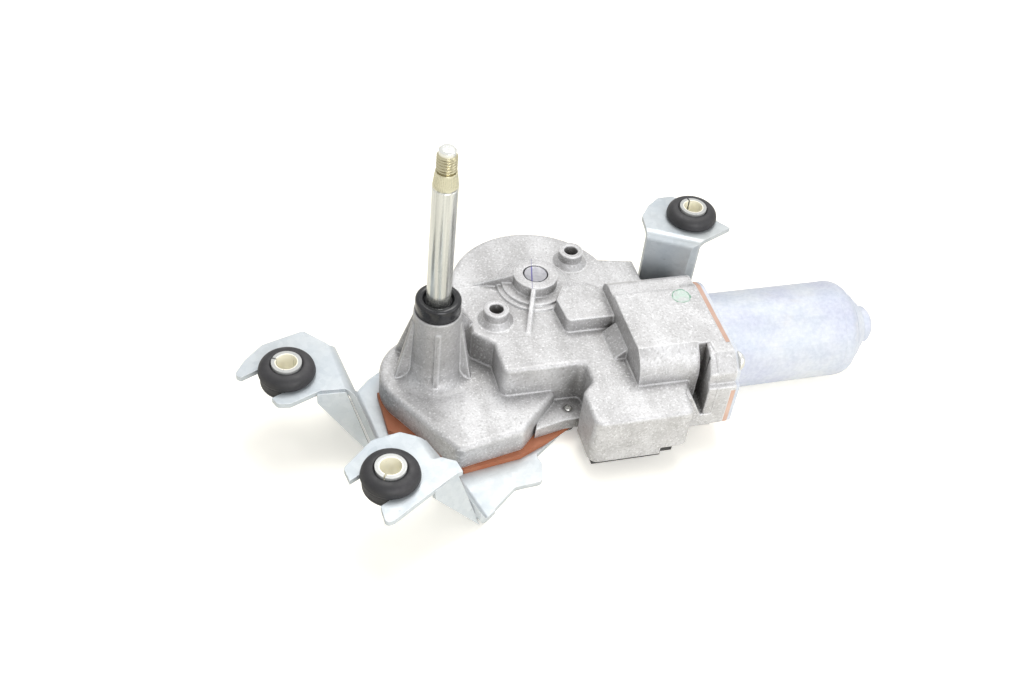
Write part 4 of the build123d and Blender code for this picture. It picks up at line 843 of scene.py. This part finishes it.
def makeCushion(side, look):
    # a groove holds the arm; the full dome above it and the flatter lip below it are quarters of
    # (r/R)^n + (h/H)^n = 1, with r from the inner end of each and h from its outer edge
    low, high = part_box("grommet_" + side)
    centre = (low + high) / 2 / mm
    armTop = high[2] / mm - look["rise"]
    bulge, widest, armFoot = look["bulge"], look["widest"], -look["plate"]
    shoulder, bore = look["sleeve"] + look["shoulder"], look["sleeve"] + look["fit"]
    turn = np.linspace(0, np.pi / 2, look["rows"])
    cosine, sine = np.cos(turn), np.sin(turn)
    power = 2 / look["fullness"]
    dome = [
        shoulder + (bulge - shoulder) * cosine**power,
        widest + (look["rise"] - widest) * sine**power,
    ]
    tuckWide, tuckDeep = look["tuck"]
    tuck = [bulge - tuckWide + tuckWide * cosine[:0:-1], widest - tuckDeep * sine[:0:-1]]
    lipStart, lipEnd = shoulder + look["lipInset"], bulge - look["lipInset"]
    lip = [
        lipStart + (lipEnd - lipStart) * cosine[::-1] ** power,
        armFoot - look["lipThick"] - (look["drop"] - look["lipThick"]) * sine[::-1] ** power,
    ]
    boreDepth, innerCorner, innerDepth = look["boreTop"]
    profile = np.vstack(
        [
            [[bore, look["rise"] - boreDepth], [bore, armFoot - look["drop"]]],
            np.transpose(lip),
            [[bulge - look["lipRoof"], armFoot - look["play"]], [look["neck"], armFoot - look["play"]]],
            [[look["neck"], look["play"]]],
            np.transpose(tuck),
            np.transpose(dome),
            [[look["sleeve"] + innerCorner, look["rise"] - innerDepth]],
        ]
    )
    mouth = np.radians(look["mouths"][side])
    near, least = 0.1, 0.01  # a row this near the neck's corners is one of its rows; |sin a| stays above 0
    seam, seamHalf = look["seam"]

    def shape(radius, height, angle):
        # the slot has straight sides, so the neck may reach neck / |sin a| from its middle towards the mouth
        fromMouth = angle - mouth
        straight = look["neck"] / np.maximum(np.abs(np.sin(fromMouth)), least)
        reach = np.minimum(np.where(np.cos(fromMouth) > 0, straight, look["neck"]), look["filled"])
        neckRows = (height < near) & (height > armFoot - near) & (radius < look["neck"] + near)
        radius = np.where(neckRows, reach, radius)
        return radius + seam * np.exp(-(((height - widest) / seamHalf) ** 2)), height

    piece = turned("cushion_" + side, profile, (centre[0], centre[1], armTop), 96, False, shape)
    setPiece(piece, "body", "blackRubber", "black_rubber", "grommet_" + side)


for side in sides:
    makeCushion(side, cushionLook)
print("cushions made")

crownLook = {
    "axis": (-7.5, 21.6),  # y and z of the armature's axis
    # place along X and radius: a round shoulder, then two drawn steps down to the bearing's boss
    "outside": [
        (176.6, 21.27), (178.6, 21.22), (180.2, 20.95), (181.6, 20.35), (182.8, 19.45), (183.8, 18.35),
        (184.3, 17.5), (184.6, 17.0), (185.6, 16.5), (186.9, 15.4), (188.0, 14.1), (188.5, 13.1),
        (188.8, 12.5), (189.8, 12.1), (190.8, 11.2), (191.6, 10.1), (191.9, 9.3), (192.3, 8.26),
    ],
    "inside": [(192.3, 8.1), (180.8, 8.1), (180.8, 17.4), (179.4, 20.0), (176.6, 21.0)],
    "steps": (0.25, 1.5),  # outside and inside
    "columns": 160,
}


def makeCrown(look):
    # the can's stepped end: radius against place along X, swept round the armature's axis
    outerStep, innerStep = look["steps"]
    profile = np.vstack([fineProfile(look["outside"], outerStep), fineProfile(look["inside"], innerStep)])
    angle, place, radius = sweep(profile, look["columns"])
    piece = gridMesh("can_crown", lyingPoints(place, radius, angle, *look["axis"]))
    setPiece(piece, "body", "canPlate", "can_steel")


webLook = {
    "start": 104.2,
    "end": 108.4,
    "lean": 2.6,
    # y and z round the front of the can's flange
    "outline": [
        (-29.5, 45.45), (-36.55, 45.45), (-43.3, 39.35), (-43.3, 34.3), (-45.5, 33.65), (-45.5, 19.0),
        (-29.5, 19.0),
    ],
    "step": 0.8,
    "edge": 1.0,
    "edgeRows": ((0.0, 1.0), (0.3, 0.3), (1.0, 0.0)),  # along X and drawn in, as shares of the edge
    "drawnIn": (1.0, 0.5),  # in y and in z
}


def makeWeb(look):
    # the thick front of the flange: its outline carried along X, drawn in by the edge at the start, with the
    # start leaning back in proportion to the distance from the front: x = start + lean (y - front) / depth
    outline = fineProfile(look["outline"] + look["outline"][:1], look["step"])[:-1]
    middle = (outline.min(axis=0) + outline.max(axis=0)) / 2
    front, depth = outline[:, 0].min(), np.ptp(outline[:, 0])
    rows = []
    for place, inset in look["edgeRows"]:
        shrunk = outline - np.sign(outline - middle) * inset * look["edge"] * np.array(look["drawnIn"])
        x = look["start"] + look["edge"] * place + look["lean"] * (shrunk[:, 0] - front) / depth
        rows.append(np.column_stack([x, shrunk]))
    rows.append(np.column_stack([np.full(len(outline), look["end"]), outline]))
    piece = gridMesh("flange_front", np.array(rows) * mm, True)
    setPiece(piece, "body", "castAluminium", "cast_aluminium")


makeCrown(crownLook)
makeWeb(webLook)
print("can end and flange front made")

spindleLook = {
    "radius": 5.0,
    "seatRadius": 4.0,
    "threadRadius": 4.0,
    "tipRadius": 3.3,
    "foot": 3.0,
    "seatTop": 6.4,
    "groove": 51.6,
    "coneStart": 113.6,
    "threadStart": 120.6,
    "tip": 130.6,
    "tipLength": 2.9,
    # corners from the foot up: a radius and a height by name, and then how far each corner is from them
    "plain": [
        ("seatRadius", "foot", [(-0.4, 0.0), (0.0, 0.4)]),
        ("seatRadius", "seatTop", [(0.0, 0.0)]),
        ("radius", "seatTop", [(0.0, 0.0), (0.0, 0.4)]),
        ("radius", "groove", [(0.0, -0.3), (0.0, 0.0), (-0.6, 0.0), (-0.6, 1.0), (0.0, 1.0), (0.0, 1.3)]),
    ],
    "shaped": [
        ("radius", "coneStart", [(0.0, -0.9), (0.0, -0.6), (-0.16, -0.35), (-0.12, 0.0), (-0.02, 0.5)]),
        ("threadRadius", "threadStart", [(0.28, -0.6), (0.12, 0.0), (-0.5, 0.1), (-0.5, 0.5), (0.0, 1.0)]),
        ("threadRadius", "tipStart", [(0.0, -0.4)]),
        ("tipRadius", "tipStart", [(0.0, 0.3)]),
        ("tipRadius", "tip", [(0.0, -0.9), (-0.7, -0.2), (-1.3, 0.0)]),
    ],
    "steps": (8.0, 0.15),  # the plain shaft needs few rows, and the knurl and the thread need many
    "columns": 240,
    "pitch": 1.25,
    "threadDepth": 0.62,
    "flank": (1.25, 0.12),  # steepness, and how far the crest is cut flat
    "threadEnds": ((0.8, 0.6), (0.2, 0.5)),  # at either end its bare length and the length of its fade
    "knurls": 40,
    "knurlDepth": 0.16,
    "knurlEnds": ((0.6, 0.8), (0.4, 0.8)),
}


def between(height, low, high, ends):
    # 1 between two heights and 0 outside them; each end has a bare length, and then the length of its fade
    (bareFoot, footFade), (bareTop, topFade) = ends
    rising = np.clip((height - low - bareFoot) / footFade, 0, 1)
    return rising * np.clip((high - bareTop - height) / topFade, 0, 1)


def makeSpindle(look):
    # thread: the radius less depth |2 p - 1| for the phase p, its crest cut flat; knurl: the radius less a
    # zigzag round the cone
    look = {**look, "tipStart": look["tip"] - look["tipLength"]}

    def corners(rows):
        return [(look[radius] + out, look[level] + up) for radius, level, steps in rows for out, up in steps]

    plain = [(poleRing, look["foot"])] + corners(look["plain"])
    shaped = corners(look["shaped"]) + [(poleRing, look["tip"])]
    plainStep, shapedStep = look["steps"]
    profile = np.vstack([fineProfile(plain + shaped[:1], plainStep)[:-1], fineProfile(shaped, shapedStep)])
    steepness, crest = look["flank"]

    def shape(radius, height, angle):
        phase = screwPhase(height, angle, look["pitch"])
        valley = np.clip(steepness * np.abs(2 * phase - 1) - crest, 0, 1)
        onThread = between(height, look["threadStart"], look["tipStart"], look["threadEnds"])
        onCone = between(height, look["coneStart"], look["threadStart"], look["knurlEnds"])
        wave = np.abs(((angle * look["knurls"] / (2 * np.pi)) % 1.0) * 2 - 1)
        return radius - look["threadDepth"] * valley * onThread - look["knurlDepth"] * wave * onCone, height

    piece = turned("spindle_shaft", profile, (0, 0, 0), look["columns"], True, shape)
    setPiece(piece, "spindle", "spindleSteel", "spindle_steel", "output_shaft")


capLook = {
    "lip": 6.1,  # radius of the rim's inside
    "rim": 1.5,
    "rimPower": 0.75,
    "dish": 1.6,
    "bore": 5.02,
    "roof": 3.2,
    "wall": 1.3,
    "footChamfer": (0.15, 0.2),
    "throat": (-0.15, -0.5),  # from the rim's inside and the dish
    "wiper": [(0.75, -0.7), (0.4, 0.1), (0.1, 0.15), (0.0, -0.1)],  # from the bore and the dish
    "rows": 28,
    "columns": 112,
}


def makeCap(look):
    # the cap's section: a thick round rim, r = middle + half cos t against h = rim (sin t)^p, which steps
    # down to the lip that wipes the shaft
    low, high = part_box("seal_cap")
    foot, top, outer = low[2] / mm, high[2] / mm, (high[0] - low[0]) / 2 / mm
    bore, dish, roof, wall = look["bore"], top - look["dish"], top - look["roof"], outer - look["wall"]
    turn = np.linspace(0, np.pi, look["rows"])
    middle, half = (outer + look["lip"]) / 2, (outer - look["lip"]) / 2
    rim = [middle + half * np.cos(turn), top - look["rim"] + look["rim"] * np.sin(turn) ** look["rimPower"]]
    chamferWide, chamferHigh = look["footChamfer"]
    profile = np.vstack(
        [
            [[bore, roof], [wall, roof], [wall, foot]],
            [[outer - chamferWide, foot], [outer, foot + chamferHigh]],
            np.transpose(rim),
            [[look["lip"] + look["throat"][0], dish + look["throat"][1]]],
            np.array(look["wiper"]) + (bore, dish),
        ]
    )
    piece = turned("cap_ring", profile, (0, 0, 0), look["columns"], False)
    setPiece(piece, "body", "capRubber", "black_rubber", "seal_cap")


axleLook = {
    "footChamfer": 0.5,
    "clipGroove": 0.8,
    "slack": 0.05,
    "seam": 0.55,
    "seamDepth": 0.7,
    "seamSlope": 0.4,
    "chamfer": 0.25,
    "dimple": 0.25,
    "rows": 24,
}


def makeAxle(look):
    # a turned pin: a dished end face, h = top - dimple (1 - (r/R)^2), in a narrow groove where it meets the
    # boss, and a deeper groove for its clip
    low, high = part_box("wheel_axle")
    foot, top, radius = low[2] / mm, high[2] / mm, (high[0] - low[0]) / 2 / mm
    clipFoot, clipTop = (corner[2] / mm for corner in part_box("wheel_clip"))
    grooveFoot, grooveTop = clipFoot - look["slack"], clipTop + look["slack"]
    grooved, inner, chamfer = radius - look["clipGroove"], radius - look["seam"], look["footChamfer"]
    seamFoot = top - look["seamDepth"]
    out = np.linspace(1, lastShare, look["rows"])
    face = np.stack([(inner - look["chamfer"]) * out, top - look["dimple"] * (1 - out**2)], axis=1)
    corners = [
        (poleRing, foot), (radius - chamfer, foot), (radius, foot + chamfer), (radius, grooveFoot),
        (grooved, grooveFoot), (grooved, grooveTop), (radius, grooveTop),
        (radius, seamFoot - look["seamSlope"]), (inner, seamFoot), (inner, top - look["chamfer"]),
    ]
    middle = (low + high) / 2 / mm
    piece = turned("axle_pin", np.vstack([corners, face]), (middle[0], middle[1], 0.0))
    setPiece(piece, "body", "axleSteel", "gear_steel", "wheel_axle")


screwLook = {
    "shank": 2.0,
    "shankChamfer": 0.7,
    "length": 9.2,
    "pitch": 0.8,
    "threadDepth": 0.3,
    "threadStop": 0.6,  # from the seat
    "washer": 4.5,
    "washerThick": 0.8,
    "washerRound": 0.1,
    "head": 3.75,
    "undercut": (0.25, 0.12),
    "rimFoot": 0.2,  # from the washer
    "rimTop": 0.7,
    "rise": 3.1,
    "recess": 1.2,
    "recessFloor": 0.3,  # lowest rows that the recess moves, from the washer
    "slotHalf": 0.45,
    "slotReach": 2.0,
    "slotWalls": (0.15, 0.3),  # thickness of the slopes at its sides and its ends
    "places": {"front": (-38.0, 40.6), "rear": (20.5, 13.0)},  # y and z
    "step": 0.25,
    "rows": 44,
    "columns": 96,
}


def makeCanScrews(look):
    # pan head: h = rim + (rise - rim) (1 - (r/R)^4) above the rim's top, less a cross where |y| or |z| is
    # under the slot's half width; shank: its radius less depth |2 p - 1| for the thread's phase p
    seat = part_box("can_screws")[1][0] / mm - look["rise"]
    shank, thick, head, washer = look["shank"], look["washerThick"], look["head"], look["washer"]
    chamfer, edge = look["shankChamfer"], look["washerRound"]
    undercut, undercutTop = head - look["undercut"][0], thick + look["undercut"][1]
    out = np.linspace(1, lastShare, look["rows"])
    rimTop = thick + look["rimTop"]
    crown = np.stack([head * out, rimTop + (look["rise"] - rimTop) * (1 - out**4)], axis=1)
    corners = [
        (poleRing, -look["length"]), (shank - chamfer, -look["length"]), (shank, -look["length"] + chamfer),
        (shank, 0.0), (washer - edge, 0.0), (washer, edge), (washer, thick - edge), (washer - edge, thick),
        (undercut, thick), (undercut, undercutTop), (head, thick + look["rimFoot"]),
    ]
    profile = np.vstack([fineProfile(corners, look["step"]), crown])
    angle, radius, height = sweep(profile, look["columns"])
    onThread = (height < -look["threadStop"]) * (radius > shank - edge)
    phase = screwPhase(height, angle, look["pitch"])
    radius = radius - look["threadDepth"] * np.abs(2 * phase - 1) * onThread
    across, along = np.abs(radius * np.cos(angle)), np.abs(radius * np.sin(angle))
    sideWall, endWall = look["slotWalls"]
    cross = np.clip((look["slotHalf"] - np.minimum(across, along)) / sideWall + 0.5, 0, 1)
    cross = cross * np.clip((look["slotReach"] - radius) / endWall, 0, 1)
    height = height - look["recess"] * cross * (height > thick + look["recessFloor"])
    for place, (y, z) in look["places"].items():
        piece = gridMesh("can_screw_" + place, lyingPoints(height + seat, radius, angle, y, z), True)
        setPiece(piece, "body", "screwSteel", "screw_steel", "can_screws")


makeSpindle(spindleLook)
makeCap(capLook)
makeAxle(axleLook)
makeCanScrews(screwLook)
print("turned pieces made")
